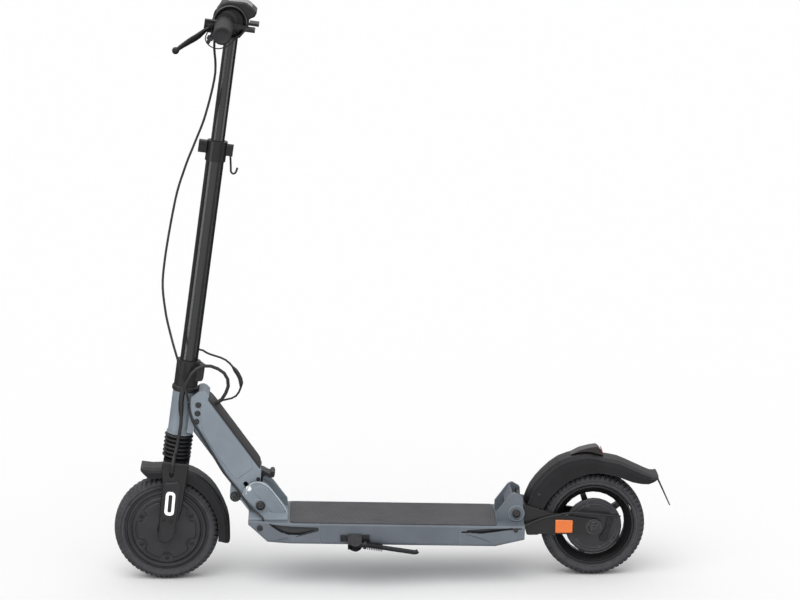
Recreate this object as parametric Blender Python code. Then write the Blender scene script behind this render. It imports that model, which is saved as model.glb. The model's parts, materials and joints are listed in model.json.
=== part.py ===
"""Electric kick scooter with a telescopic stem, a folding beam, a sprung fork and a sprung rear arm.

Everything is in metres with +Z up. The scooter faces -X and its left side is -Y.
The origin is at the middle of the object's box, on the floor.
"""

import bmesh
import bpy
import numpy as np
from math import atan2, ceil, cos, hypot, pi, radians, sin, tan
from mathutils import Matrix, Vector

for old in list(bpy.data.objects):
    bpy.data.objects.remove(old, do_unlink=True)

MM = 0.001

# Share of the full number of facets on turned pieces
FACETS = 0.64
TYRE_FACETS = 40

# Fits
FIT = 0.3 * MM
BOLT_FIT = 0.3 * MM

# Overall sizes
WHEELBASE = 814 * MM
TYRE_R = 100 * MM
REAR_OVERHANG = 147.3 * MM
BAR_S = 976.4 * MM
BAR_HALF = 235 * MM
HEAD_LEAN = radians(8.15)

# Wheels
TYRE_HALF = 25 * MM
TREAD_FLAT = 13 * MM
TYRE_SEAT_R = 78 * MM
RIM_HALF = 20 * MM
MOTOR_COVER_R = 64 * MM
MOTOR_HALF = 28.5 * MM
AXLE_R = 6 * MM
RIM_WINDOW_R = 62 * MM
RIM_HUB_R = 24 * MM

# Fork and steering, along the steering axis from the front axle
LEG_IN = 33 * MM
LEG_OUT = 47 * MM
CROWN_TOP = 138 * MM
BELLOWS_TOP = 186 * MM
BELLOWS_RIBS = 6
SUSPENSION_TRAVEL = 14 * MM
HEAD_TUBE_BOTTOM = 186.3 * MM
HEAD_TUBE_TOP = 270 * MM
CUP_TOP = 281 * MM
NECK_TOP = 330 * MM
STEM_R = 16.8 * MM
BELLOWS_R = STEM_R + 8.5 * MM
HEAD_TUBE_R = STEM_R + 5.7 * MM
COLLAR_R = STEM_R + 2.4 * MM
STEM_TOP = 748 * MM
INNER_R = 12.8 * MM
INNER_BOTTOM = 530 * MM
INNER_TOP = BAR_S - 19.4 * MM
COLLAR_BOTTOM = 714 * MM
COLLAR_TOP = 752 * MM
BAR_U = -14.4 * MM
BAR_R = 11 * MM
GRIP_R = 16.5 * MM
GRIP_START = 115 * MM
HOUSING_HALF = 37 * MM

# Deck, along its top face from its front edge
DECK_FRONT_GAP = 156.1 * MM
DECK_REAR_GAP = 134.1 * MM
DECK_FRONT_Z = 126.6 * MM
DECK_TILT = radians(1.4)
DECK_HALF = 77.5 * MM
DECK_NOSE_HALF = 58 * MM
DECK_TAIL_HALF = 73 * MM
DECK_THICK = 40 * MM
DECK_WALL = 3 * MM
NOSE_LENGTH = 137 * MM
TAIL_LENGTH = 125 * MM
MAT_THICK = 2 * MM

# Folding beam
PIVOT_X = 22.8 * MM
PIVOT_Z = 24.3 * MM
BEAM_HALF = 33 * MM
BEAM_LEAN = radians(35.3)
BEAM_END_R = 20 * MM
BEAM_WALL = 3.5 * MM
CHEEK_THICK = 5.7 * MM
CHEEK_R = 46 * MM
PIVOT_BOLT_R = 8 * MM
LOCK_R = 4.3 * MM
LOCK_ALONG = 39 * MM
LOCK_TRAVEL = 10.8 * MM

# Rear arm and fender
SWING_X = -148.5 * MM
SWING_Z = 30.3 * MM
EAR_IN = 35 * MM
EAR_OUT = 40 * MM
ARM_IN = 29 * MM
ARM_OUT = 35 * MM
FENDER_HALF = 32 * MM
FENDER_WALL = 2.4 * MM

# Side stand
STAND_X = 202 * MM
STAND_SIDE = 10.5 * MM
STAND_Z = 84 * MM
STAND_TILT = radians(48.5)
STAND_ROD_R = 4.3 * MM
SPRING_WIRE = 0.9 * MM
SPRING_R = 7.1 * MM
SPRING_TURNS = 9
SPRING_LENGTH = 32 * MM

# Cables
BRAKE_CABLE_R = 2.2 * MM
MOTOR_LEAD_R = 3.3 * MM
DISPLAY_LEAD_R = 2.0 * MM

LENGTH = TYRE_R + WHEELBASE + REAR_OVERHANG
FRONT_X = TYRE_R - LENGTH / 2
REAR_X = FRONT_X + WHEELBASE
DECK_LENGTH = WHEELBASE - DECK_FRONT_GAP - DECK_REAR_GAP


def turn_y(angle):
    return Matrix.Rotation(angle, 4, "Y")


def at(x, y, z):
    return Matrix.Translation((x, y, z))


WORLD = Matrix.Identity(4)
STEER = at(FRONT_X, 0, TYRE_R) @ turn_y(HEAD_LEAN)
DECK = at(FRONT_X + DECK_FRONT_GAP, 0, DECK_FRONT_Z) @ turn_y(DECK_TILT)
FOLD = DECK @ at(PIVOT_X, 0, PIVOT_Z)
BEAM = FOLD @ turn_y(-BEAM_LEAN - DECK_TILT)
REAR = at(REAR_X, 0, TYRE_R)
SWING = at(REAR_X + SWING_X, 0, TYRE_R + SWING_Z)
STAND_Y = -(DECK_HALF + STAND_SIDE)
STAND = at(FRONT_X + DECK_FRONT_GAP + STAND_X, STAND_Y, STAND_Z)

# Materials: name, base colour, metallic, roughness
FINISHES = {
    "painted_alloy": ((0.27, 0.31, 0.35), 0.3, 0.45),
    "deck_alloy": ((0.18, 0.21, 0.25), 0.5, 0.45),
    "black_alloy": ((0.035, 0.036, 0.04), 0.2, 0.42),
    "steel": ((0.55, 0.55, 0.56), 1.0, 0.3),
    "dark_steel": ((0.05, 0.05, 0.055), 0.8, 0.45),
    "black_plastic": ((0.03, 0.03, 0.034), 0.0, 0.5),
    "grey_plastic": ((0.12, 0.12, 0.13), 0.0, 0.55),
    "rubber": ((0.02, 0.02, 0.022), 0.0, 0.75),
    "tyre_rubber": ((0.025, 0.025, 0.027), 0.0, 0.85),
    "cable_jacket": ((0.02, 0.02, 0.02), 0.0, 0.55),
    "lens": ((0.6, 0.62, 0.64), 0.0, 0.12),
    "red_lens": ((0.45, 0.02, 0.02), 0.0, 0.15),
    "battery_wrap": ((0.05, 0.12, 0.25), 0.0, 0.4),
}


def finish_for(node, finish):
    colour, metallic, rough = FINISHES[finish]
    material = bpy.data.materials.new(node + "_" + finish)
    material.use_nodes = True
    shader = material.node_tree.nodes["Principled BSDF"]
    shader.inputs["Base Color"].default_value = (*colour, 1.0)
    shader.inputs["Metallic"].default_value = metallic
    shader.inputs["Roughness"].default_value = rough
    material.diffuse_color = (*colour, 1.0)
    return material


BODIES = {}


def body(name, frame):
    """An empty on a joint's axis, which carries the pieces that move with it."""
    empty = bpy.data.objects.new("body_" + name, None)
    empty.matrix_world = frame
    bpy.context.scene.collection.objects.link(empty)
    BODIES[name] = (empty, frame.copy())


def settle(obj, frame, carrier):
    empty, rest = BODIES[carrier]
    obj.parent = empty
    obj.matrix_parent_inverse = rest.inverted()
    obj.matrix_basis = frame


def mesh_object(name, points, faces):
    mesh = bpy.data.meshes.new(name)
    mesh.from_pydata([tuple(p) for p in points], [], faces)
    work = bmesh.new()
    work.from_mesh(mesh)
    bmesh.ops.remove_doubles(work, verts=work.verts, dist=1e-6)
    bmesh.ops.recalc_face_normals(work, faces=work.faces)
    work.to_mesh(mesh)
    work.free()
    obj = bpy.data.objects.new(name, mesh)
    bpy.context.scene.collection.objects.link(obj)
    return obj


def node(name, shape, frame, carrier, finish, bevel=0.0, segments=1):
    """Turns a (points, faces) shape into a named piece of the scooter."""
    obj = mesh_object(name, *shape)
    obj.data.shade_smooth()
    obj.data.set_sharp_from_angle(angle=radians(35))
    obj.data.materials.append(finish_for(name, finish))
    settle(obj, frame, carrier)
    if bevel:
        rounding = obj.modifiers.new("rounding", "BEVEL")
        rounding.width = bevel
        rounding.segments = segments
        rounding.limit_method = "ANGLE"
        rounding.angle_limit = radians(40)
        rounding.harden_normals = False
    return obj


def combine(obj, shape, frame, operation):
    """Joins, cuts or keeps the common part of a piece and another shape."""
    label = obj.name + "_" + operation.lower() + str(len(obj.modifiers))
    helper = mesh_object(label, *shape)
    helper.matrix_world = frame
    helper.hide_render = True
    helper.display_type = "WIRE"
    change = obj.modifiers.new(label, "BOOLEAN")
    change.operation = operation
    change.solver = "EXACT"
    change.object = helper
    return helper


def cut(obj, shape, frame):
    return combine(obj, shape, frame, "DIFFERENCE")


def join(obj, shape, frame):
    return combine(obj, shape, frame, "UNION")


def mm(*points):
    return [tuple(v * MM for v in p) for p in points]


def rounded(points, steps=4):
    """A closed outline from (a, b) or (a, b, radius) corners, rounded where there is a radius."""
    out = []
    count = len(points)
    for i, corner in enumerate(points):
        here = Vector(corner[:2])
        radius = corner[2] if len(corner) > 2 else 0.0
        before = Vector(points[i - 1][:2]) - here
        after = Vector(points[(i + 1) % count][:2]) - here
        if radius <= 0:
            out.append(tuple(here))
            continue
        angle = before.angle(after)
        reach = radius / tan(angle / 2)
        limit = 0.49 * min(before.length, after.length)
        if reach > limit:
            reach = limit
            radius = reach * tan(angle / 2)
        centre = here + (before.normalized() + after.normalized()).normalized() * (radius / sin(angle / 2))
        first = here + before.normalized() * reach - centre
        last = here + after.normalized() * reach - centre
        sweep = atan2(first.x * last.y - first.y * last.x, first.dot(last))
        for k in range(steps + 1):
            t = sweep * k / steps
            out.append(
                (
                    centre.x + first.x * cos(t) - first.y * sin(t),
                    centre.y + first.x * sin(t) + first.y * cos(t),
                )
            )
    return out


def grown(outline, distance):
    """The same outline moved outward by a distance."""
    count = len(outline)
    area = sum(outline[i - 1][0] * outline[i][1] - outline[i][0] * outline[i - 1][1] for i in range(count))
    sign = 1.0 if area > 0 else -1.0
    out = []
    for i in range(count):
        here = Vector(outline[i])
        back = (here - Vector(outline[i - 1])).normalized()
        ahead = (Vector(outline[(i + 1) % count]) - here).normalized()
        normal = Vector((back.y + ahead.y, -back.x - ahead.x)).normalized() * sign
        square = max(normal.dot(Vector((back.y, -back.x)) * sign), 0.35)
        out.append(tuple(here + normal * (distance / square)))
    return out


def arc(a, b, radius, start, end, steps):
    out = []
    for k in range(steps + 1):
        t = radians(start + (end - start) * k / steps)
        out.append((a + radius * cos(t), b + radius * sin(t)))
    return out


def stack(rings):
    """A closed solid through rings that hold the same number of points."""
    count = len(rings[0])
    points = [p for ring in rings for p in ring]
    faces = [list(range(count))]
    faces.append([len(points) - 1 - k for k in range(count)])
    for i in range(len(rings) - 1):
        for k in range(count):
            after = (k + 1) % count
            a = i * count
            faces.append([a + k, a + after, a + count + after, a + count + k])
    return points, faces


def prism(outline, low, high, across="Y"):
    """An outline pushed along an axis: (x, z) along Y, (x, y) along Z, or (y, z) along X."""
    rings = []
    for level in (low, high):
        if across == "Y":
            rings.append([(a, level, b) for a, b in outline])
        elif across == "Z":
            rings.append([(a, b, level) for a, b in outline])
        else:
            rings.append([(level, a, b) for a, b in outline])
    return stack(rings)


def box(x0, x1, y0, y1, z0, z1):
    return prism([(x0, z0), (x1, z0), (x1, z1), (x0, z1)], y0, y1)


def turned(profile, sides=32, axis="Z", centre=(0, 0, 0)):
    """A closed (radius, height) profile turned about an axis. A point with no radius becomes one pole."""
    sides = max(10, round(sides * FACETS))
    points = []
    rings = []
    for radius, height in profile:
        if radius <= 1e-9:
            rings.append([len(points)])
            points.append((0.0, 0.0, height))
            continue
        rings.append(list(range(len(points), len(points) + sides)))
        for k in range(sides):
            t = 2 * pi * k / sides
            points.append((radius * cos(t), radius * sin(t), height))
    faces = []
    for i in range(len(rings)):
        low = rings[i]
        high = rings[(i + 1) % len(rings)]
        if len(low) == 1 and len(high) == 1:
            continue
        for k in range(sides):
            after = (k + 1) % sides
            if len(low) == 1:
                faces.append([low[0], high[after], high[k]])
            elif len(high) == 1:
                faces.append([low[k], low[after], high[0]])
            else:
                faces.append([low[k], low[after], high[after], high[k]])
    if axis == "Y":
        points = [(x, z, -y) for x, y, z in points]
    if axis == "X":
        points = [(z, y, -x) for x, y, z in points]
    points = [(x + centre[0], y + centre[1], z + centre[2]) for x, y, z in points]
    return points, faces


def rod(radius, low, high, sides=24, axis="Z", centre=(0, 0, 0)):
    profile = [(0, low), (radius, low), (radius, high), (0, high)]
    return turned(profile, sides, axis, centre)


def ring(inner, outer, low, high, sides=32, axis="Z", centre=(0, 0, 0)):
    profile = [(inner, low), (outer, low), (outer, high), (inner, high)]
    return turned(profile, sides, axis, centre)


def smooth_path(points, spacing, most=80):
    """Points at even distances along a smooth curve through the given ones."""
    given = [Vector(p) for p in points]
    fine = []
    for i in range(len(given) - 1):
        p0 = given[max(i - 1, 0)]
        p1 = given[i]
        p2 = given[i + 1]
        p3 = given[min(i + 2, len(given) - 1)]
        t1 = max((p1 - p0).length, 1e-9) ** 0.5
        t2 = max((p2 - p1).length, 1e-9) ** 0.5
        t3 = max((p3 - p2).length, 1e-9) ** 0.5
        m1 = (p2 - p0) * (t2 / (t1 + t2)) if i else (p2 - p1)
        m2 = (p3 - p1) * (t2 / (t2 + t3)) if i + 2 < len(given) else (p2 - p1)
        for k in range(16):
            t = k / 16
            h1 = 2 * t**3 - 3 * t**2 + 1
            h2 = t**3 - 2 * t**2 + t
            h3 = -2 * t**3 + 3 * t**2
            h4 = t**3 - t**2
            fine.append(h1 * p1 + h2 * m1 + h3 * p2 + h4 * m2)
    fine.append(given[-1])
    reach = [0.0]
    for i in range(1, len(fine)):
        reach.append(reach[-1] + (fine[i] - fine[i - 1]).length)
    count = max(4, min(most, ceil(reach[-1] / spacing) + 1))
    out = []
    for k in range(count):
        want = reach[-1] * k / (count - 1)
        i = min(max(int(np.searchsorted(reach, want)), 1), len(fine) - 1)
        part = (want - reach[i - 1]) / max(reach[i] - reach[i - 1], 1e-12)
        out.append(fine[i - 1].lerp(fine[i], min(max(part, 0.0), 1.0)))
    return out, reach[-1]


def cable(name, route, radius, carrier, finish="cable_jacket", swell=(), spacing=3.0):
    """A round cord along a route in world metres. Swell lists (from, to, factor) as parts of its length."""
    points, length = smooth_path(route, radius * 2 * spacing)
    curve = bpy.data.curves.new(name, "CURVE")
    curve.dimensions = "3D"
    curve.bevel_depth = radius
    curve.bevel_resolution = 2
    curve.use_fill_caps = True
    spline = curve.splines.new("POLY")
    spline.points.add(len(points) - 1)
    for k, point in enumerate(points):
        spline.points[k].co = (*point, 1.0)
        part = k / (len(points) - 1)
        for start, end, factor in swell:
            if start <= part <= end:
                spline.points[k].radius = factor
    obj = bpy.data.objects.new(name, curve)
    bpy.context.scene.collection.objects.link(obj)
    curve.materials.append(finish_for(name, finish))
    settle(obj, WORLD, carrier)
    print(f"{name}: {length / MM:.0f} mm long, {len(points)} points")
    return points


def passage(points, radius):
    """The hole that a cable's end needs, a little longer than the cable."""
    end = points[-1] + (points[-1] - points[-2]).normalized() * 0.6 * MM
    return pipe(list(points) + [end], radius, 12)


def pipe(route, radius, sides=12):
    """A round bar through the given points, as a mesh that can be joined or cut."""
    path = [Vector(p) for p in route]
    rings = []
    side = None
    for i, here in enumerate(path):
        ahead = path[min(i + 1, len(path) - 1)] - path[max(i - 1, 0)]
        ahead.normalize()
        if side is None:
            side = ahead.orthogonal().normalized()
        side = (side - ahead * side.dot(ahead)).normalized()
        up = ahead.cross(side)
        wide = radius[i] if isinstance(radius, (list, tuple)) else radius
        rings.append(
            [
                tuple(here + side * wide * cos(2 * pi * k / sides) + up * wide * sin(2 * pi * k / sides))
                for k in range(sides)
            ]
        )
    return stack(rings)


def world(frame, x, y, z):
    return tuple(frame @ Vector((x, y, z)))


# Bodies. The root is the deck; each other empty stands on its joint.
LEVER_AT = (25.5 * MM, 42.9 * MM)
CLAMP_AT = (-COLLAR_R - 7.3 * MM, STEM_TOP - 10.5 * MM)
HOOK_AT = (COLLAR_R + 6.3 * MM, STEM_TOP - 12 * MM)
CAM_Y = 17 * MM
BRAKE_AT = (-37 * MM, -106 * MM, BAR_S - 5.4 * MM)
BRAKE_ARM_AT = (18 * MM, -23 * MM)
body("deck", DECK)
body("beam", BEAM)
body("release_lever", BEAM @ at(LEVER_AT[0], 0, LEVER_AT[1]))
body("lock_pin", BEAM @ at(0.9 * MM, 0, LOCK_ALONG))
body("steerer", STEER @ at(0, 0, HEAD_TUBE_TOP))
body("clamp_lever", STEER @ at(CLAMP_AT[0], CAM_Y, CLAMP_AT[1]))
body("latch_hook", STEER @ at(HOOK_AT[0], 0, HOOK_AT[1]))
body("upper_stem", STEER @ at(0, 0, STEM_TOP))
body("brake_lever", STEER @ at(*BRAKE_AT))
body("throttle_paddle", STEER @ at(BAR_U, 0, BAR_S))
body("regen_paddle", STEER @ at(BAR_U, 0, BAR_S))
body("fork", STEER @ at(0, 0, CROWN_TOP))
body("front_wheel", STEER)
body("stand", STAND)
body("swing_arm", SWING)
body("brake_arm", REAR @ at(BRAKE_ARM_AT[0], 0, BRAKE_ARM_AT[1]))
body("rear_wheel", REAR)


# Deck
def deck_half(x):
    nose = 82 * MM
    if x < nose:
        part = x / nose
        return DECK_NOSE_HALF + (DECK_HALF - DECK_NOSE_HALF) * (1 - (1 - part) ** 1.25)
    tail = DECK_LENGTH - 60 * MM
    if x > tail:
        return DECK_HALF - (DECK_HALF - DECK_TAIL_HALF) * (x - tail) / (DECK_LENGTH - tail)
    return DECK_HALF


def deck_bottom(x):
    if x < 37 * MM:
        return -9.6 * MM - (DECK_THICK - 9.6 * MM) * x / (37 * MM)
    chamfer = DECK_LENGTH - 55 * MM
    if x > chamfer:
        return -DECK_THICK + 12.2 * MM * (x - chamfer) / (DECK_LENGTH - chamfer)
    return -DECK_THICK


def deck_section(x, inset=0.0, top=0.0):
    half = deck_half(x) - inset
    low = deck_bottom(x) + inset
    high = top - inset
    edge = 3.0 * MM
    heel = min(6 * MM, (high - low) * 0.4)
    outline = [
        (-half, low, heel),
        (half, low, heel),
        (half, high, edge),
        (-half, high, edge),
    ]
    return [(x, y, z) for y, z in rounded(outline, 3)]


def deck_solid(stations, inset=0.0):
    return stack([deck_section(x, inset) for x in stations])


def spread(low, high, count):
    return [low + (high - low) * k / (count - 1) for k in range(count)]


TAIL_START = DECK_LENGTH - TAIL_LENGTH
BORE_HALF = DECK_HALF - DECK_WALL
BORE_LOW = -DECK_THICK + DECK_WALL
BORE_HIGH = -DECK_WALL

extrusion = node(
    "deck_extrusion",
    deck_solid([NOSE_LENGTH + FIT, TAIL_START - FIT]),
    DECK,
    "deck",
    "deck_alloy",
)
cut(
    extrusion,
    box(NOSE_LENGTH - 10 * MM, TAIL_START + 10 * MM, -BORE_HALF, BORE_HALF, BORE_LOW, BORE_HIGH),
    DECK,
)

nose = node(
    "deck_nose",
    deck_solid([0, 3 * MM, 12 * MM, 24 * MM, 37 * MM, 58 * MM, 82 * MM, NOSE_LENGTH]),
    DECK,
    "deck",
    "painted_alloy",
)
SPIGOT_HALF = BORE_HALF - FIT
SPIGOT_LOW = BORE_LOW + FIT
SPIGOT_HIGH = BORE_HIGH - FIT
SPIGOT_WALL = 3 * MM
SPIGOT_REACH = 13 * MM


def pocket(x0, x1, half):
    return box(x0, x1, -half, half, SPIGOT_LOW + SPIGOT_WALL, SPIGOT_HIGH - SPIGOT_WALL)


join(
    nose,
    box(
        NOSE_LENGTH - 4 * MM,
        NOSE_LENGTH + SPIGOT_REACH,
        -SPIGOT_HALF,
        SPIGOT_HALF,
        SPIGOT_LOW,
        SPIGOT_HIGH,
    ),
    DECK,
)
cut(nose, pocket(66 * MM, NOSE_LENGTH + SPIGOT_REACH + 1 * MM, DECK_HALF - 9 * MM), DECK)

tail_stations = [
    TAIL_START,
    DECK_LENGTH - 60 * MM,
    DECK_LENGTH - 55 * MM,
    DECK_LENGTH - 2 * MM,
    DECK_LENGTH,
]
tail = node("deck_tail", deck_solid(tail_stations), DECK, "deck", "painted_alloy")
join(
    tail,
    box(
        TAIL_START - SPIGOT_REACH,
        TAIL_START + 4 * MM,
        -SPIGOT_HALF,
        SPIGOT_HALF,
        SPIGOT_LOW,
        SPIGOT_HIGH,
    ),
    DECK,
)
cut(tail, pocket(TAIL_START - SPIGOT_REACH - 1 * MM, TAIL_START + 58 * MM, DECK_HALF - 9 * MM), DECK)


def inlay_outline(corners, shift):
    return [(x * MM + shift, z * MM, r * MM) for x, z, r in corners]


# Leaf-shaped covers let into the sides of the nose and the tail
NOSE_LEAF = [(35, -4.2, 2), (133, -6.4, 2), (133, -13.5, 3), (104, -22, 8), (77, -21, 6), (54, -12, 6)]
TAIL_LEAF = [
    (3, -8.4, 1.5),
    (40, -14.2, 9),
    (90, -7.6, 6),
    (119, -6.2, 0.8),
    (119, -3.9, 0.8),
    (60, -4.2, 9),
]
LEAF_DEPTH = 2.6 * MM
LEAF_SUNK = 0.9 * MM


def leaf(corners, shift, side, low, high, spare):
    outline = rounded(inlay_outline(corners, shift), 3)
    if spare:
        outline = grown(outline, spare)
    first = min(x for x, z in outline)
    last = max(x for x, z in outline)
    slope = (deck_half(last) - deck_half(first)) / (last - first)
    inner = [(x, side * (deck_half(first) + slope * (x - first) - high), z) for x, z in outline]
    return stack([[(x, side * (deck_half(x) - low), z) for x, z in outline], inner])


for side, word in ((-1, "left"), (1, "right")):
    for piece, corners, shift, place in (
        (nose, NOSE_LEAF, 0.0, "front"),
        (tail, TAIL_LEAF, TAIL_START, "rear"),
    ):
        cut(piece, leaf(corners, shift, side, -4 * MM, LEAF_DEPTH + LEAF_SUNK + 1.2 * MM, FIT), DECK)
        node(
            "inlay_" + place + "_" + word,
            leaf(corners, shift, side, LEAF_SUNK, LEAF_DEPTH + LEAF_SUNK, 0.0),
            DECK,
            "deck",
            "grey_plastic",
        )

MAT_START = 79 * MM
MAT_END = DECK_LENGTH - 52.5 * MM
mat_outline = []
for x in [MAT_START] + spread(MAT_START + 8 * MM, MAT_END - 8 * MM, 2) + [MAT_END]:
    mat_outline.append((x, deck_half(x) - 6.5 * MM))
mat_outline = [(x, -y, 8 * MM) for x, y in mat_outline] + [(x, y, 8 * MM) for x, y in reversed(mat_outline)]
node(
    "grip_mat",
    prism(
        rounded([mat_outline[0], mat_outline[3], mat_outline[4], mat_outline[7]], 4),
        FIT,
        FIT + MAT_THICK,
        "Z",
    ),
    DECK,
    "deck",
    "rubber",
    bevel=0.6 * MM,
    segments=1,
)
BATTERY_GAP = 5 * MM
battery_start = NOSE_LENGTH + SPIGOT_REACH + BATTERY_GAP
battery_end = TAIL_START - SPIGOT_REACH - BATTERY_GAP
node(
    "battery_pack",
    box(
        battery_start,
        battery_end,
        -(BORE_HALF - 14.5 * MM),
        BORE_HALF - 14.5 * MM,
        BORE_LOW + FIT,
        BORE_HIGH - 5 * MM,
    ),
    DECK,
    "deck",
    "battery_wrap",
    bevel=2.5 * MM,
)

# Rear ears on the tail, which carry the swing arm. Written from the swing pivot.
SWING_IN_DECK = DECK.inverted() @ SWING
EAR = SWING
# The ears' feet reach down to the top of the deck, however far below the pivot that is
EAR_FOOT = -SWING_IN_DECK.translation.z / MM
EAR_OUTLINE = [
    (-37, EAR_FOOT - 2, 0),
    (-36.6, 3.7, 2),
    (-11.6, 37, 5),
    (-3.6, 40.7, 4),
    (11.5, 31.8, 6),
    (14.2, EAR_FOOT - 0.2, 0),
]
ear_outline = rounded([(x * MM, z * MM, r * MM) for x, z, r in EAR_OUTLINE], 4)
for side in (-1, 1):
    y0 = min(side * EAR_IN, side * EAR_OUT)
    y1 = max(side * EAR_IN, side * EAR_OUT)
    join(tail, prism(ear_outline, y0, y1), EAR)
    outer = 1.2 * MM
    boss_low = y0 - (outer if side < 0 else 0)
    boss_high = y1 + (outer if side > 0 else 0)
    join(tail, rod(13 * MM, boss_low, boss_high, 28, "Y"), EAR)
WALL_OUTLINE = mm((-20, 14), (-13, 14), (-6, 34), (-9.5, 37.5))
join(tail, prism(WALL_OUTLINE, -EAR_IN - 1 * MM, EAR_IN + 1 * MM), EAR)
SWING_BOLT_R = 5 * MM
cut(tail, rod(SWING_BOLT_R + BOLT_FIT, -60 * MM, 60 * MM, 20, "Y"), EAR)
swing_bolt = node(
    "swing_pivot_bolt",
    rod(SWING_BOLT_R, -EAR_OUT - 2 * MM, EAR_OUT + 2 * MM, 20, "Y"),
    SWING,
    "deck",
    "steel",
)
for side in (-1, 1):
    near = EAR_OUT + 1.2 * MM + FIT
    join(
        swing_bolt,
        rod(
            8 * MM,
            min(side * near, side * (near + 3 * MM)),
            max(side * near, side * (near + 3 * MM)),
            20,
            "Y",
        ),
        SWING,
    )
BUFFER_OUTLINE = mm((-11.7, 16.7), (-2.3, 13.4), (2.6, 27.6), (-6.8, 30.9))
node(
    "elastomer_buffer",
    prism(BUFFER_OUTLINE, -16 * MM, 16 * MM),
    SWING,
    "deck",
    "rubber",
    bevel=1.5 * MM,
)

# Fold bracket: a base on the nose with two cheeks and a front lug. Written from the pivot.
CHEEK_IN = BEAM_HALF + FIT
CHEEK_OUT = CHEEK_IN + CHEEK_THICK
BASE_LOW = -PIVOT_Z + FIT
SLOT_FLOOR = -BEAM_END_R - 1 * MM
base_profile = [
    (-DECK_NOSE_HALF + 2 * MM, BASE_LOW),
    (DECK_NOSE_HALF - 2 * MM, BASE_LOW),
    (DECK_NOSE_HALF - 2.5 * MM, BASE_LOW + 3 * MM),
    (CHEEK_OUT, BASE_LOW + 11 * MM),
    (-CHEEK_OUT, BASE_LOW + 11 * MM),
    (-DECK_NOSE_HALF + 2.5 * MM, BASE_LOW + 3 * MM),
]
BRACKET_BACK = 51.6 * MM
bracket = node(
    "fold_bracket",
    prism(base_profile, -PIVOT_X + 0.4 * MM, BRACKET_BACK, "X"),
    FOLD,
    "deck",
    "painted_alloy",
)
cut(
    bracket,
    box(-PIVOT_X - 5 * MM, BRACKET_BACK + 5 * MM, -CHEEK_IN, CHEEK_IN, SLOT_FLOOR, 20 * MM),
    FOLD,
)
cheek_outline = mm((-3, -16), (-35.1, 20.5))
cheek_outline += arc(0, 0, CHEEK_R, 134, 84, 10)
cheek_outline += mm((11.5, 43.3), (50.6, -6.1), (51.3, -16))
for side in (-1, 1):
    y0 = min(side * CHEEK_IN, side * CHEEK_OUT)
    y1 = max(side * CHEEK_IN, side * CHEEK_OUT)
    join(bracket, prism(cheek_outline, y0, y1), FOLD)
    boss = 1.2 * MM
    boss_low = y0 if side > 0 else y0 - boss
    boss_high = y1 if side < 0 else y1 + boss
    join(bracket, rod(13.6 * MM, boss_low, boss_high, 28, "Y"), FOLD)
lug_corners = [
    (-22.4, -22, 0),
    (-22.4, -16.2, 5),
    (-30.0, -6.4, 0),
    (-38.6, 4.9, 5),
    (-48.8, 2.7, 5),
    (-56.6, 6, 6),
    (-58.8, 16, 6),
    (-58.2, 26, 4),
    (-56.9, 33.6, 1),
    (-55.6, 34.6, 0),
    (-42.6, 18.2, 2),
    (-30.8, 2.0, 0),
    (-20.0, -13.4, 4),
    (-12, -18, 0),
    (-12, -22, 0),
]
LUG_HALF = 21 * MM
lug_outline = rounded([(x * MM, z * MM, r * MM) for x, z, r in lug_corners], 3)
join(bracket, prism(lug_outline, -LUG_HALF, LUG_HALF), FOLD)

# The cheeks are thinned in an arc so that the lock pin passes, with a notch where it rests
RELIEF_IN = LOCK_ALONG - LOCK_R - 1.0 * MM
RELIEF_DEPTH = 3.3 * MM
relief = arc(0, 0, CHEEK_R + 8 * MM, 150, 30, 18) + arc(0, 0, RELIEF_IN, 30, 150, 14)
cut(bracket, prism(relief, -CHEEK_IN - RELIEF_DEPTH, CHEEK_IN + RELIEF_DEPTH), FOLD)
LOCK_N = 0.9 * MM
NOTCH = LOCK_R + 0.8 * MM
notch_outline = [(LOCK_N + NOTCH, LOCK_ALONG + 20 * MM), (LOCK_N - NOTCH, LOCK_ALONG + 20 * MM)]
notch_outline += arc(LOCK_N, LOCK_ALONG, NOTCH, 180, 360, 8)
cut(bracket, prism(notch_outline, -CHEEK_OUT - 5 * MM, CHEEK_OUT + 5 * MM), BEAM)
cut(bracket, rod(PIVOT_BOLT_R + BOLT_FIT, -60 * MM, 60 * MM, 28, "Y"), FOLD)

pivot_bolt = node(
    "fold_pivot_bolt",
    rod(PIVOT_BOLT_R, -CHEEK_OUT - 2 * MM, CHEEK_OUT + 2 * MM, 28, "Y"),
    FOLD,
    "deck",
    "dark_steel",
)
for side in (-1, 1):
    near = side * (CHEEK_OUT + 1.2 * MM + FIT)
    far = near + side * 2.6 * MM
    join(pivot_bolt, rod(9 * MM, min(near, far), max(near, far), 28, "Y"), FOLD)

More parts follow.
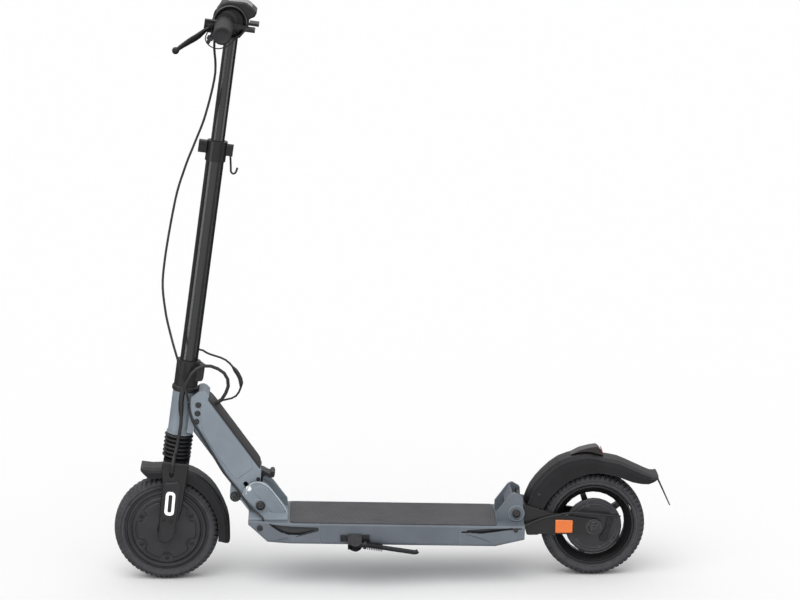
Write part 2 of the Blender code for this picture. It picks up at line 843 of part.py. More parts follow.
# Beam, in its own frame: x is its rear side and z runs up along it from the pivot
# Each row: height, rear face, front face at the sides, front face at the middle
BEAM_ROWS = [
    (0, 20, -20, -20),
    (26, 21.5, -20.6, -21.4),
    (31, 22, -20.8, -21.8),
    (53, 40, -21, -22.6),
    (62, 40, -21, -23),
    (140, 40, -13, -23),
    (192, 40, -7.5, -23),
    (224.5, 40, -4, -20),
    (226.2, 44.4, -4, -20),
    (229, 46.0, -4, -20),
    (237, 44.8, -4, -20),
    (242.6, 41.6, -4, -20),
    (246, 35.8, -4, -20),
]
HEAD_FACE = HEAD_TUBE_R + 3.5 * MM
beam_rings = []
for z, rear, side_front, front in BEAM_ROWS:
    middle = front + (side_front - front) * 0.4
    ring_points = [
        (rear * MM, -BEAM_HALF),
        (rear * MM, BEAM_HALF),
        (side_front * MM, BEAM_HALF),
        (middle * MM, BEAM_HALF * 0.68),
        (front * MM, BEAM_HALF * 0.3),
        (front * MM, -BEAM_HALF * 0.3),
        (middle * MM, -BEAM_HALF * 0.68),
        (side_front * MM, -BEAM_HALF),
    ]
    beam_rings.append([(x, y, z * MM) for x, y in ring_points])
beam = node("beam", stack(beam_rings), BEAM, "beam", "painted_alloy", bevel=1.6 * MM)
join(beam, rod(BEAM_END_R, -BEAM_HALF, BEAM_HALF, 40, "Y"), BEAM)
PLATE_IN = 26 * MM + FIT
head_cut = box(HEAD_FACE + FIT - 120 * MM, HEAD_FACE + FIT, -PLATE_IN, PLATE_IN, 120 * MM, 420 * MM)
cut(beam, head_cut, STEER)
for side in (-1, 1):
    plate_edge = mm(
        (-60, 150),
        (-6.4, 186),
        (-6.1, 192.6),
        (-4.9, 203.7),
        (-1.8, 215.9),
        (2.8, 227.0),
        (8.9, 236.9),
        (16.5, 246.4),
        (16.5, 270),
        (-60, 270),
    )
    y0 = min(side * (PLATE_IN - 1 * MM), side * 50 * MM)
    y1 = max(side * (PLATE_IN - 1 * MM), side * 50 * MM)
    cut(beam, prism(plate_edge, y0, y1), BEAM)
POCKET_HALF = BEAM_HALF - BEAM_WALL
cut(
    beam,
    prism(mm((-17, 62), (-8, 140), (-2, 205), (60, 205), (60, 62)), -POCKET_HALF, POCKET_HALF),
    BEAM,
)
LEVER_POCKET = 22 * MM
cut(
    beam,
    prism(mm((-7.6, 29.2), (70, 29.2), (70, 54.5), (-7.6, 54.5)), -LEVER_POCKET, LEVER_POCKET),
    BEAM,
)
slot_outline = arc(LOCK_N, LOCK_ALONG, LOCK_R + BOLT_FIT, 180, 360, 8)
slot_outline += arc(LOCK_N, LOCK_ALONG + LOCK_TRAVEL, LOCK_R + BOLT_FIT, 0, 180, 8)
cut(beam, prism(slot_outline, -60 * MM, 60 * MM), BEAM)
LEVER_AXLE_R = 4 * MM
cut(beam, rod(LEVER_AXLE_R + BOLT_FIT, -60 * MM, 60 * MM, 20, "Y", (LEVER_AT[0], 0, LEVER_AT[1])), BEAM)
cut(beam, rod(PIVOT_BOLT_R + BOLT_FIT, -60 * MM, 60 * MM, 28, "Y"), BEAM)

# Each row: height, how much of the crown is left
COVER_CROWN = ((1, 0.25), (0.93, 0.6), (0.5, 0.92), (0, 1), (-0.5, 0.92), (-0.93, 0.6), (-1, 0.25))
cover_rings = []
for z, crown in ((58.5, 0.3), (62, 0.75), (70, 1.0), (140, 1.05), (205, 1.0), (217, 0.8), (222.6, 0.4)):
    rise = 5.8 * MM * crown
    ring_points = [(40.3 * MM, -BEAM_HALF), (40.3 * MM, BEAM_HALF)]
    for part, share in COVER_CROWN:
        ring_points.append((40.3 * MM + rise * share, BEAM_HALF * part))
    cover_rings.append([(x, y, z * MM) for x, y in ring_points])
cover = node("beam_cover", stack(cover_rings), BEAM, "beam", "painted_alloy")
join(
    cover,
    box(36.5 * MM, 41.5 * MM, -POCKET_HALF + FIT, POCKET_HALF - FIT, 62.3 * MM, 204.7 * MM),
    BEAM,
)
node(
    "controller",
    box(2 * MM, 30 * MM, -26 * MM, 26 * MM, 62.3 * MM, 182 * MM),
    BEAM,
    "beam",
    "black_plastic",
    bevel=1.5 * MM,
    segments=1,
)

# Release lever, from its hinge
lever_corners = [
    (-29, -8.5, 0),
    (-7, -8.5, 1),
    (-7, 4, 5),
    (0, 8, 4),
    (10, 9.5, 3),
    (14.5, 5, 3),
    (17.2, -0.9, 3),
    (21, -8.5, 2.5),
    (25.5, -5.6, 2),
    (30.1, -9, 2.5),
    (29.4, -13.5, 2.5),
    (23.2, -18.6, 2.5),
    (15.5, -13, 4),
    (12.2, -4.6, 3),
    (7, -5, 3),
    (1, -12.9, 2),
    (-29, -12.9, 1),
]
lever_outline = rounded([(x * MM, z * MM, r * MM) for x, z, r in lever_corners], 3)
LEVER_FRAME = BEAM @ at(LEVER_AT[0], 0, LEVER_AT[1])
lever = node(
    "release_lever",
    prism(lever_outline, -16 * MM, 16 * MM),
    LEVER_FRAME,
    "release_lever",
    "dark_steel",
)
join(lever, rod(LEVER_AXLE_R, -BEAM_HALF - 0.4 * MM, BEAM_HALF + 0.4 * MM, 20, "Y"), LEVER_FRAME)
PIN_END = BEAM_HALF + 3 * MM
node(
    "lock_pin",
    rod(LOCK_R, -PIN_END, PIN_END, 20, "Y"),
    BEAM @ at(LOCK_N, 0, LOCK_ALONG),
    "lock_pin",
    "steel",
    bevel=0.6 * MM,
    segments=1,
)

# Head tube and the lower bearing flange, with the block that the beam is bolted to
head = node(
    "head_tube",
    ring(STEM_R + FIT - 2 * MM, HEAD_TUBE_R, HEAD_TUBE_BOTTOM, HEAD_TUBE_TOP, 40),
    STEER,
    "beam",
    "painted_alloy",
)
join(
    head,
    ring(STEM_R - 1 * MM, HEAD_TUBE_R + 2 * MM, HEAD_TUBE_BOTTOM, HEAD_TUBE_BOTTOM + 3.5 * MM, 40),
    STEER,
)
join(head, box(14 * MM, HEAD_FACE, -26 * MM, 26 * MM, 194 * MM, 266 * MM), STEER)
cut(head, rod(STEM_R + FIT, HEAD_TUBE_BOTTOM - 9 * MM, HEAD_TUBE_TOP + 9 * MM, 40), STEER)
node(
    "headset_cup",
    turned(
        [
            (STEM_R + FIT, HEAD_TUBE_TOP + FIT),
            (HEAD_TUBE_R + 1 * MM, HEAD_TUBE_TOP + FIT),
            (HEAD_TUBE_R + 2.5 * MM, HEAD_TUBE_TOP + 2.5 * MM),
            (HEAD_TUBE_R + 2.5 * MM, CUP_TOP - 2.5 * MM),
            (HEAD_TUBE_R + 0.5 * MM, CUP_TOP),
            (STEM_R + FIT, CUP_TOP),
        ],
        40,
    ),
    STEER,
    "beam",
    "black_plastic",
)

# Steerer: the lower tube runs from inside the bellows, through the head tube, up to the collar
STEERER_BOTTOM = CROWN_TOP + SUSPENSION_TRAVEL + 1 * MM
STUB_BORE = INNER_R + FIT
LOWER_BORE_END = 235 * MM
UPPER_BORE_END = 345 * MM
node(
    "stem_outer_tube",
    turned(
        [
            (0, LOWER_BORE_END),
            (STUB_BORE, LOWER_BORE_END),
            (STUB_BORE, STEERER_BOTTOM),
            (STEM_R, STEERER_BOTTOM),
            (STEM_R, STEM_TOP),
            (STUB_BORE, STEM_TOP),
            (STUB_BORE, UPPER_BORE_END),
            (0, UPPER_BORE_END),
        ],
        40,
    ),
    STEER,
    "steerer",
    "black_alloy",
)
neck = node(
    "neck_block",
    ring(STEM_R - 1 * MM, 22.5 * MM, CUP_TOP + FIT, NECK_TOP, 36),
    STEER,
    "steerer",
    "black_plastic",
)
neck_lug = mm((14, 291), (29.5, 295), (31.6, 300), (31.8, 321.6), (19.6, 328), (14, 328))
join(neck, prism(neck_lug, -14 * MM, 14 * MM), STEER)
cut(neck, rod(STEM_R + FIT, CUP_TOP - 9 * MM, NECK_TOP + 9 * MM, 40), STEER)

# Collar at the top of the lower tube, with a front ear for the clamp and a rear lug for the hook
collar = node(
    "collar_clamp",
    turned(
        [
            (STEM_R + FIT, COLLAR_BOTTOM),
            (COLLAR_R, COLLAR_BOTTOM),
            (COLLAR_R, COLLAR_TOP),
            (INNER_R + 2 * FIT, COLLAR_TOP),
            (INNER_R + 2 * FIT, STEM_TOP + FIT),
            (STEM_R + FIT, STEM_TOP + FIT),
        ],
        40,
    ),
    STEER,
    "steerer",
    "black_alloy",
)
EAR_HALF = 9 * MM
EAR_OUT_END = CLAMP_AT[0] - 7.5 * MM
EAR_LOW = CLAMP_AT[1] - 10 * MM
EAR_HIGH = CLAMP_AT[1] + 12 * MM
join(collar, box(EAR_OUT_END, -COLLAR_R + 0.8 * MM, -EAR_HALF, EAR_HALF, EAR_LOW, EAR_HIGH), STEER)
REAR_LUG_END = COLLAR_R + 11.8 * MM
LUG_LOW = HOOK_AT[1] - 9 * MM
LUG_HIGH = HOOK_AT[1] + 11 * MM
join(collar, box(COLLAR_R - 1 * MM, REAR_LUG_END, -EAR_HALF, EAR_HALF, LUG_LOW, LUG_HIGH), STEER)
HOOK_SLOT = 4.4 * MM
cut(
    collar,
    box(
        COLLAR_R + 0.4 * MM,
        REAR_LUG_END + 5 * MM,
        -HOOK_SLOT,
        HOOK_SLOT,
        LUG_LOW - 20 * MM,
        LUG_HIGH + 20 * MM,
    ),
    STEER,
)
cut(
    collar,
    box(
        -60 * MM,
        -COLLAR_R - 1.4 * MM,
        -1.2 * MM,
        1.2 * MM,
        COLLAR_BOTTOM - 9 * MM,
        COLLAR_TOP + 9 * MM,
    ),
    STEER,
)
CLAMP_BOLT_R = 3.2 * MM
cut(
    collar,
    rod(CLAMP_BOLT_R + BOLT_FIT, -30 * MM, 30 * MM, 16, "Y", (CLAMP_AT[0], 0, CLAMP_AT[1])),
    STEER,
)
CLAMP_FRAME = STEER @ at(CLAMP_AT[0], 0, CLAMP_AT[1])
clamp_bolt = node(
    "clamp_bolt",
    rod(CLAMP_BOLT_R, -EAR_HALF - 1 * MM, CAM_Y, 16, "Y"),
    CLAMP_FRAME,
    "steerer",
    "steel",
)
join(clamp_bolt, rod(5.6 * MM, -EAR_HALF - 3.8 * MM, -EAR_HALF - FIT, 20, "Y"), CLAMP_FRAME)
join(clamp_bolt, rod(3.4 * MM, -7 * MM, 7 * MM, 20, "Z", (0, CAM_Y, 0)), CLAMP_FRAME)
clamp_lever = node(
    "clamp_lever",
    ring(3.7 * MM, 7.2 * MM, -6.5 * MM, 6.5 * MM, 28, "Z", (0, CAM_Y, 0)),
    CLAMP_FRAME,
    "clamp_lever",
    "dark_steel",
)
arm = mm((2, 21), (0, 24.2), (16, 31), (40, 30), (56, 24), (55, 21), (40, 26.5), (18, 27.5), (6, 21.5))
join(clamp_lever, prism(arm, -6 * MM, 6 * MM, "Z"), CLAMP_FRAME)
bolt_path = mm((4.4, 5), (4.4, 17), (0, 21), (-2, 24), (-12, 26), (-12, 5))
cut(clamp_lever, prism(bolt_path, -4.2 * MM, 4.2 * MM, "Z"), CLAMP_FRAME)
HOOK_FRAME = STEER @ at(HOOK_AT[0], 0, HOOK_AT[1])
hook_route, _ = smooth_path(
    mm(
        (0, 0, 0),
        (2.4, 0, -14),
        (5.4, 0, -32),
        (6.6, 0, -39),
        (10.4, 0, -42.4),
        (15, 0, -40),
        (17.4, 0, -30),
    ),
    4 * MM,
)
hook = node("latch_hook", pipe(hook_route, 1.9 * MM, 10), HOOK_FRAME, "latch_hook", "steel")
join(hook, rod(4.4 * MM, -HOOK_SLOT + FIT, HOOK_SLOT - FIT, 20, "Y"), HOOK_FRAME)

# Bellows and the spring inside the steerer
BELLOWS_BOTTOM = CROWN_TOP + FIT
BELLOWS_BORE = STEM_R + 2.4 * MM
rib = (BELLOWS_TOP - BELLOWS_BOTTOM) / BELLOWS_RIBS
bellows_profile = [(BELLOWS_BORE, BELLOWS_BOTTOM), (BELLOWS_R - 3.6 * MM, BELLOWS_BOTTOM)]
for k in range(BELLOWS_RIBS):
    bellows_profile.append((BELLOWS_R, BELLOWS_BOTTOM + rib * (k + 0.5)))
    bellows_profile.append((BELLOWS_R - 3.6 * MM, BELLOWS_BOTTOM + rib * (k + 1)))
bellows_profile.append((BELLOWS_BORE, BELLOWS_TOP))
node("bellows", turned(bellows_profile, 36), STEER, "steerer", "rubber")


def coil(name, radius, wire, turns, low, high, frame, carrier, finish, axis="Z", resolution=1):
    """A helical spring as one unbroken tube, with its least gap to itself printed."""
    per_turn = 9
    count = int(turns * per_turn) + 1
    path = []
    climb = (high - low - 2 * wire) / (count - 1)
    for k in range(count):
        t = 2 * pi * k / per_turn
        path.append((radius * cos(t), radius * sin(t), low + wire + climb * k))
    if axis == "X":
        path = [(z, y, -x) for x, y, z in path]
    curve = bpy.data.curves.new(name, "CURVE")
    curve.dimensions = "3D"
    curve.bevel_depth = wire
    curve.bevel_resolution = resolution
    curve.use_fill_caps = True
    spline = curve.splines.new("POLY")
    spline.points.add(count - 1)
    for k, point in enumerate(path):
        spline.points[k].co = (*point, 1.0)
    obj = bpy.data.objects.new(name, curve)
    bpy.context.scene.collection.objects.link(obj)
    curve.materials.append(finish_for(name, finish))
    settle(obj, frame, carrier)
    pitch = (high - low - 2 * wire) / turns
    print(f"{name}: least gap to itself {(pitch - 2 * wire) / MM:.2f} mm over {turns} turns")
    return obj


STUB_TOP = 190 * MM
STUB_R = INNER_R
coil(
    "suspension_spring",
    10.6 * MM,
    1.5 * MM,
    5,
    STUB_TOP + FIT,
    LOWER_BORE_END - FIT,
    STEER,
    "steerer",
    "steel",
    resolution=0,
)

# Upper stem
node(
    "stem_inner_tube",
    ring(INNER_R - 2 * MM, INNER_R, INNER_BOTTOM, INNER_TOP, 36),
    STEER,
    "upper_stem",
    "black_alloy",
)
BAR = STEER @ at(BAR_U, 0, BAR_S)
GRIP_CAP = 3.5 * MM
BAR_END = BAR_HALF - GRIP_CAP - FIT
node("handlebar", rod(BAR_R, -BAR_END, BAR_END, 28, "Y"), BAR, "upper_stem", "dark_steel")
for side, word in ((-1, "left"), (1, "right")):
    profile = [
        (BAR_R + FIT, GRIP_START),
        (GRIP_R + 1.5 * MM, GRIP_START),
        (GRIP_R + 1.5 * MM, GRIP_START + 3 * MM),
        (GRIP_R, GRIP_START + 5 * MM),
        (GRIP_R, BAR_HALF - 5 * MM),
        (GRIP_R - 0.6 * MM, BAR_HALF - 1.5 * MM),
        (GRIP_R - 2 * MM, BAR_HALF),
        (0, BAR_HALF),
        (0, BAR_HALF - GRIP_CAP),
        (BAR_R + FIT, BAR_HALF - GRIP_CAP),
    ]
    node("grip_" + word, turned([(r, h * side) for r, h in profile], 32, "Y"), BAR, "upper_stem", "rubber")

housing_corners = [
    (-34, 977, 3),
    (-33.5, 993, 6),
    (-24, 1010, 5),
    (-14, 1015.5, 4),
    (16, 1017, 4),
    (27, 1012.5, 4),
    (41.5, 1002, 3),
    (38, 993, 4),
    (29, 988, 4),
    (29, 971, 6),
    (15.5, 951, 2),
    (-15.5, 951, 2),
    (-24, 962, 6),
]
HEAD_UP = BAR_S / MM - 976.4


def on_head(rows):
    """Corners measured up the steering line, which move with the handlebar."""
    return [(u * MM, (s + HEAD_UP) * MM, *(r * MM for r in rest)) for u, s, *rest in rows]


housing_outline = rounded(on_head(housing_corners), 3)
HOUSING_CHAMFER = 2.4 * MM
inner_outline = grown(housing_outline, -HOUSING_CHAMFER)
housing_layers = (
    (inner_outline, -HOUSING_HALF),
    (housing_outline, -HOUSING_HALF + HOUSING_CHAMFER),
    (housing_outline, HOUSING_HALF - HOUSING_CHAMFER),
    (inner_outline, HOUSING_HALF),
)
housing = node(
    "head_housing",
    stack([[(x, y, z) for x, z in outline] for outline, y in housing_layers]),
    STEER,
    "upper_stem",
    "black_plastic",
)
cut(housing, rod(BAR_R + FIT, -90 * MM, 90 * MM, 28, "Y", (BAR_U, 0, BAR_S)), STEER)
cut(housing, rod(INNER_R + FIT, INNER_TOP - 27 * MM, INNER_TOP + 1 * MM, 36), STEER)
LENS_SEAT = [(-15, 1013.2), (17, 1014.6), (21, 1013.9), (31.4, 1007.6), (32.3, 1008.6)]
LENS_CUT = on_head(LENS_SEAT + [(38, 1022), (-13, 1022)])
cut(housing, prism(LENS_CUT, -28 * MM, 28 * MM), STEER)
lens_rows = [
    (-14.2, 1013.6),
    (17, 1015.0),
    (21.2, 1014.3),
    (30.9, 1008.4),
    (31.4, 1009.6),
    (21.6, 1016.1),
    (14, 1017.1),
    (-13.4, 1015.6),
]
lens_outline = on_head(lens_rows)
node("display_lens", prism(lens_outline, -27.6 * MM, 27.6 * MM), STEER, "upper_stem", "lens")

# Brake lever and its perch, thumb paddles
MOUNT_Y0 = -98 * MM
MOUNT_Y1 = -78 * MM
mount = node(
    "brake_mount",
    ring(BAR_R - 1 * MM, 15 * MM, MOUNT_Y0, MOUNT_Y1, 28, "Y"),
    BAR,
    "upper_stem",
    "dark_steel",
)
BRAKE_FRAME = STEER @ at(*BRAKE_AT)
join(mount, box(-36 * MM, -12 * MM, -97.6 * MM, -82 * MM, -12.4 * MM, 8 * MM), BAR)
for low, high in ((-12.8 * MM, -9.4 * MM), (-1.4 * MM, 2.4 * MM)):
    plate = rounded(
        [
            (-33 * MM, -82 * MM, 3 * MM),
            (-14 * MM, -82 * MM),
            (-14 * MM, -97 * MM),
            (-17 * MM, -112 * MM, 5 * MM),
            (-30 * MM, -113 * MM, 6 * MM),
            (-33 * MM, -100 * MM, 4 * MM),
        ],
        3,
    )
    join(mount, prism(plate, low, high, "Z"), BAR)
cut(mount, rod(BAR_R + FIT, -130 * MM, -50 * MM, 28, "Y"), BAR)
lever_route = [
    (0, 0, 0),
    (-6, -12, -0.4),
    (-12.5, -20.5, -5.5),
    (-21.5, -31, -14),
    (-33.6, -46, -21.8),
    (-45, -68, -29),
    (-55.7, -92, -36.5),
]
lever_path, _ = smooth_path(mm(*lever_route), 9 * MM)


def blade(path, rows):
    """A flattened bar along a path. Rows: share of the way, half thickness, half height."""
    rings = []
    last = len(path) - 1
    for k, point in enumerate(path):
        ahead = (Vector(path[min(k + 1, last)]) - Vector(path[max(k - 1, 0)])).normalized()
        across = ahead.cross(Vector((0, 0, 1))).normalized()
        upward = across.cross(ahead)
        thick = float(np.interp(k / last, [r[0] for r in rows], [r[1] for r in rows])) * MM
        high = float(np.interp(k / last, [r[0] for r in rows], [r[2] for r in rows])) * MM
        rings.append([
            tuple(Vector(point) + across * (thick * cos(pi * j / 5)) + upward * (high * sin(pi * j / 5)))
            for j in range(10)
        ])
    return stack(rings)


LEVER_ROWS = [
    (0, 3.4, 3.4),
    (0.12, 3.4, 3.5),
    (0.3, 3.8, 6),
    (0.5, 3.8, 6.4),
    (0.75, 3.6, 5.2),
    (1, 3.2, 4),
]
brake_lever = node(
    "brake_lever",
    blade(lever_path, LEVER_ROWS),
    BRAKE_FRAME,
    "brake_lever",
    "dark_steel",
)
join(brake_lever, rod(6 * MM, -3.6 * MM, 3.6 * MM, 24), BRAKE_FRAME)
tip = lever_path[-1]
ball = [(6.6 * MM * sin(pi * k / 6), -6.6 * MM * cos(pi * k / 6)) for k in range(7)]
join(brake_lever, turned(ball, 16, "Z", tuple(tip)), BRAKE_FRAME)

PADDLE_HALF = 7.5 * MM
for name, side, height, reach in (("throttle_paddle", 1, -8.4, 62.3), ("regen_paddle", -1, -2.4, 56.4)):
    middle = side * 58 * MM
    piece = node(
        name,
        ring(BAR_R + FIT, 14.5 * MM, middle - PADDLE_HALF, middle + PADDLE_HALF, 28, "Y"),
        BAR,
        name,
        "black_plastic",
    )
    inner = side * 51 * MM
    low = height - 2.4
    high = height + 2.4
    bar_shape = mm(
        (12.6, height * 0.5 - 4.5),
        (40, low),
        (reach, low),
        (reach, high),
        (40, high),
        (12.6, height * 0.5 + 4.5),
    )
    join(piece, prism(bar_shape, min(inner, side * 65 * MM), max(inner, side * 65 * MM)), BAR)
    outer_bar = mm((reach - 18, low), (reach, low), (reach, high), (reach - 18, high))
    join(
        piece,
        prism(outer_bar, min(side * 60 * MM, side * 96 * MM), max(side * 60 * MM, side * 96 * MM)),
        BAR,
    )

# Fender cross-sections
def fender(stations, half, wall):
    """An inverted trough. Each station holds its crest and the foot of its skirts, as (x, z)."""
    outer = ((1.0, 0.0), (1.0, 0.58), (0.92, 0.84), (0.62, 0.965), (0.0, 1.0))
    rings = []
    for crest, foot in stations:
        top = Vector(crest)
        low = Vector(foot)
        up = (top - low).normalized()
        depth = (top - low).length
        points = []
        for wide, high in outer:
            points.append((half * wide, depth * high))
        inner = []
        for k, (wide, high) in enumerate(points):
            if k == 0:
                inner.append((wide - wall, 0.0))
            elif wide > 0:
                inner.append((wide - wall, min(high - wall * 0.45, depth - wall)))
            else:
                inner.append((0.0, high - wall))
        right = [(w, h) for w, h in points]
        left = [(-w, h) for w, h in reversed(points[:-1])]
        inner_left = [(-w, h) for w, h in inner[:-1]]
        inner_right = [(w, h) for w, h in reversed(inner)]
        section = right + left + inner_left + inner_right
        rings.append([(low.x + up.x * h, w, low.y + up.y * h) for w, h in section])
    return stack(rings)


def eased(stations):
    """The stations with one more between each pair, on a smooth line through them."""
    rows = [(*crest, *foot) for crest, foot in stations]
    last = len(rows) - 1
    result = []
    for k in range(last):
        before, first, second, after = (rows[min(max(k + d, 0), last)] for d in (-1, 0, 1, 2))
        middle = [
            (9 * (b + c) - a - d) / 16 for a, b, c, d in zip(before, first, second, after, strict=True)
        ]
        result += [first, middle]
    result.append(rows[last])
    return [((a, b), (c, d)) for a, b, c, d in result]


def polar(radius, angle):
    return (radius * MM * cos(radians(angle)), radius * MM * sin(radians(angle)))


FRONT_FENDER = []
for angle, crest, foot in (
    (-13, 123, 100.5),
    (0, 120, 99),
    (14, 119.3, 99),
    (32, 119.6, 99),
    (46, 122.5, 100),
    (60, 124, 101),
    (72, 123.6, 101.5),
    (84, 122.6, 102.5),
    (93, 122.2, 103.6),
    (102, 124.2, 105.2),
):
    FRONT_FENDER.append((polar(crest + TYRE_R / MM - 100, angle), polar(foot + TYRE_R / MM - 100, angle)))
rise = TYRE_R - 100 * MM
for crest, foot in (((-36, 123.0), (-33.1, 103.6)), ((-47.2, 122.0), (-46.4, 117.6))):
    FRONT_FENDER.append(((crest[0] * MM, crest[1] * MM + rise), (foot[0] * MM, foot[1] * MM + rise)))
front_frame = at(FRONT_X, 0, TYRE_R)
back_lean = STEER.inverted() @ front_frame
crest_top = max((back_lean @ Vector((c[0], 0, c[1]))).z for c, f in eased(FRONT_FENDER)[:17])
CROWN_BOTTOM = crest_top + 0.4 * MM
node(
    "front_fender",
    fender(eased(FRONT_FENDER), FENDER_HALF, FENDER_WALL),
    front_frame,
    "fork",
    "grey_plastic",
)

leg_corners = [
    (-15.5, -13.2, 12),
    (-15, 0, 0),
    (-19.5, 98, 20),
    (-23.6, 116, 20),
    (-23.6, CROWN_TOP / MM, 5),
    (26.7, CROWN_TOP / MM, 5),
    (25.4, 100, 0),
    (23.7, 46, 30),
    (13.4, -3, 0),
    (12.4, -13.2, 11),
]
leg_outline = rounded([(u * MM, s * MM, r * MM) for u, s, r in leg_corners], 4)
fork = node(
    "fork",
    prism(leg_outline, -LEG_OUT, -LEG_IN),
    STEER,
    "fork",
    "black_alloy",
    bevel=1.8 * MM,
    segments=1,
)
join(fork, prism(leg_outline, LEG_IN, LEG_OUT), STEER)
join(
    fork,
    box(-23 * MM, 26 * MM, -LEG_IN - 3 * MM, LEG_IN + 3 * MM, CROWN_BOTTOM, CROWN_TOP - 0.02 * MM),
    STEER,
)
join(fork, rod(STUB_R, CROWN_TOP - 5 * MM, STUB_TOP, 32), STEER)
cut(fork, rod(AXLE_R + BOLT_FIT, -80 * MM, 80 * MM, 20, "Y"), STEER)
node("front_axle", rod(AXLE_R, -LEG_OUT + 1 * MM, LEG_OUT - 1 * MM, 20, "Y"), STEER, "fork", "steel")

# Wheels
def tyre(name, frame, carrier):
    half = TYRE_HALF
    side = []
    for radius, wide in (
        (TYRE_SEAT_R, RIM_HALF),
        (TYRE_SEAT_R + 2.6 * MM, half - 2.2 * MM),
        (TYRE_R - 12 * MM, half),
        (TYRE_R - 6.5 * MM, half - 0.8 * MM),
        (TYRE_R - 2.6 * MM, half - 4 * MM),
        (TYRE_R - 0.6 * MM, half - 8.4 * MM),
        (TYRE_R, TREAD_FLAT),
    ):
        side.append((radius, wide))
    profile = side + [(r, -w) for r, w in reversed(side)]
    # A flat facet rests on the floor, at the tyre's radius
    spread_out = 1 / cos(pi / TYRE_FACETS)
    profile = [(r * spread_out, w) for r, w in profile]
    sides = TYRE_FACETS / FACETS
    return node(
        name,
        turned(profile, sides, "Y"),
        frame @ turn_y(pi / TYRE_FACETS),
        carrier,
        "tyre_rubber",
    )


tyre("front_tyre", front_frame, "front_wheel")
tyre("rear_tyre", REAR, "rear_wheel")
BARREL_R = TYRE_SEAT_R - FIT
MOTOR_IN = LEG_IN - 1 * MM
motor_side = [
    (AXLE_R + BOLT_FIT, MOTOR_IN),
    (15 * MM, MOTOR_IN),
    (16.5 * MM, MOTOR_HALF),
    (40 * MM, MOTOR_HALF - 0.8 * MM),
    (MOTOR_COVER_R - 3 * MM, MOTOR_HALF - 3 * MM),
    (MOTOR_COVER_R, MOTOR_HALF - 6 * MM),
    (MOTOR_COVER_R + 2 * MM, RIM_HALF - 2.5 * MM),
    (TYRE_SEAT_R - 5 * MM, RIM_HALF - 2.5 * MM),
    (TYRE_SEAT_R - 3 * MM, RIM_HALF + 0.6 * MM),
    (BARREL_R, RIM_HALF + 0.6 * MM),
]
node(
    "hub_motor",
    turned(motor_side + [(r, -w) for r, w in reversed(motor_side)], 44, "Y"),
    STEER,
    "front_wheel",
    "dark_steel",
)
rim_side = [
    (RIM_WINDOW_R, 7 * MM),
    (RIM_WINDOW_R + 3 * MM, 9 * MM),
    (RIM_WINDOW_R + 12 * MM, RIM_HALF - 3 * MM),
    (TYRE_SEAT_R - 3.5 * MM, RIM_HALF + 0.4 * MM),
    (BARREL_R, RIM_HALF + 0.4 * MM),
]
rim = node(
    "rear_rim",
    turned(rim_side + [(r, -w) for r, w in reversed(rim_side)], 44, "Y"),
    REAR,
    "rear_wheel",
    "black_alloy",
)
HUB_HALF = 20 * MM
join(rim, ring(AXLE_R + BOLT_FIT, RIM_HUB_R, -HUB_HALF, HUB_HALF, 32, "Y"), REAR)
for k in range(5):
    spoke = [
        (RIM_HUB_R - 3 * MM, -7 * MM),
        (RIM_WINDOW_R + 2 * MM, -5 * MM),
        (RIM_WINDOW_R + 2 * MM, 5 * MM),
        (RIM_HUB_R - 3 * MM, 7 * MM),
    ]
    join(rim, prism(spoke, -6 * MM, 6 * MM), REAR @ turn_y(radians(36 + 72 * k)))

# Swing arm, written from its pivot
AXLE_DX = -SWING_X
AXLE_DZ = -SWING_Z
ARM_BLOCK_END = AXLE_DX - TYRE_R - 3.8 * MM
block_corners = [
    (-3, 10.5, 0),
    (3.6, 29.4, 1.5),
    (9, 28.5, 3),
    (12.7, 15.7, 1.5),
    (17, 15.2, 1),
    (ARM_BLOCK_END / MM, 7.0, 1),
    (ARM_BLOCK_END / MM, -45, 4),
    (19.7, -45, 4),
    (18.5, -20, 4),
    (10, -10, 3),
    (0, -8, 0),
]
block_outline = rounded([(x * MM, z * MM, r * MM) for x, z, r in block_corners], 3)
BLOCK_HALF = EAR_IN - FIT
swing = node(
    "swing_arm",
    prism(block_outline, -BLOCK_HALF, BLOCK_HALF),
    SWING,
    "swing_arm",
    "black_alloy",
)
join(swing, rod(12 * MM, -BLOCK_HALF + 0.15 * MM, BLOCK_HALF - 0.15 * MM, 28, "Y"), SWING)
ARM_END_R = 15 * MM
arm_outline = [
    (ARM_BLOCK_END - 8 * MM, -43 * MM),
    (ARM_BLOCK_END - 8 * MM, 6 * MM),
    (52 * MM, 4.6 * MM),
    (64 * MM, -1 * MM),
]
arm_outline += arc(AXLE_DX, AXLE_DZ, ARM_END_R, 82, -98, 10)
for side in (-1, 1):
    y0 = min(side * ARM_IN, side * (BLOCK_HALF + 0.2 * MM))
    y1 = max(side * ARM_IN, side * (BLOCK_HALF + 0.2 * MM))
    join(swing, prism(arm_outline, y0, y1), SWING)
cut(swing, rod(SWING_BOLT_R + BOLT_FIT, -60 * MM, 60 * MM, 20, "Y"), SWING)
cut(swing, rod(AXLE_R + BOLT_FIT, -60 * MM, 60 * MM, 20, "Y", (AXLE_DX, 0, AXLE_DZ)), SWING)
rear_axle = node(
    "rear_axle",
    rod(AXLE_R, -ARM_OUT - 6 * MM, ARM_OUT + 6 * MM, 20, "Y"),
    REAR,
    "swing_arm",
    "steel",
)
for side in (-1, 1):
    near = side * (ARM_OUT + 0.2 * MM)
    far = near + side * 4.5 * MM
    join(
        rear_axle,
        turned(
            [
                (0, min(near, far)),
                (9 * MM, min(near, far)),
                (9 * MM, max(near, far)),
                (0, max(near, far)),
            ],
            6,
            "Y",
        ),
        REAR,
    )
BRAKE_R = 54 * MM
BRAKE_IN = HUB_HALF + 1.2 * MM
BRAKE_OUT = ARM_IN - FIT
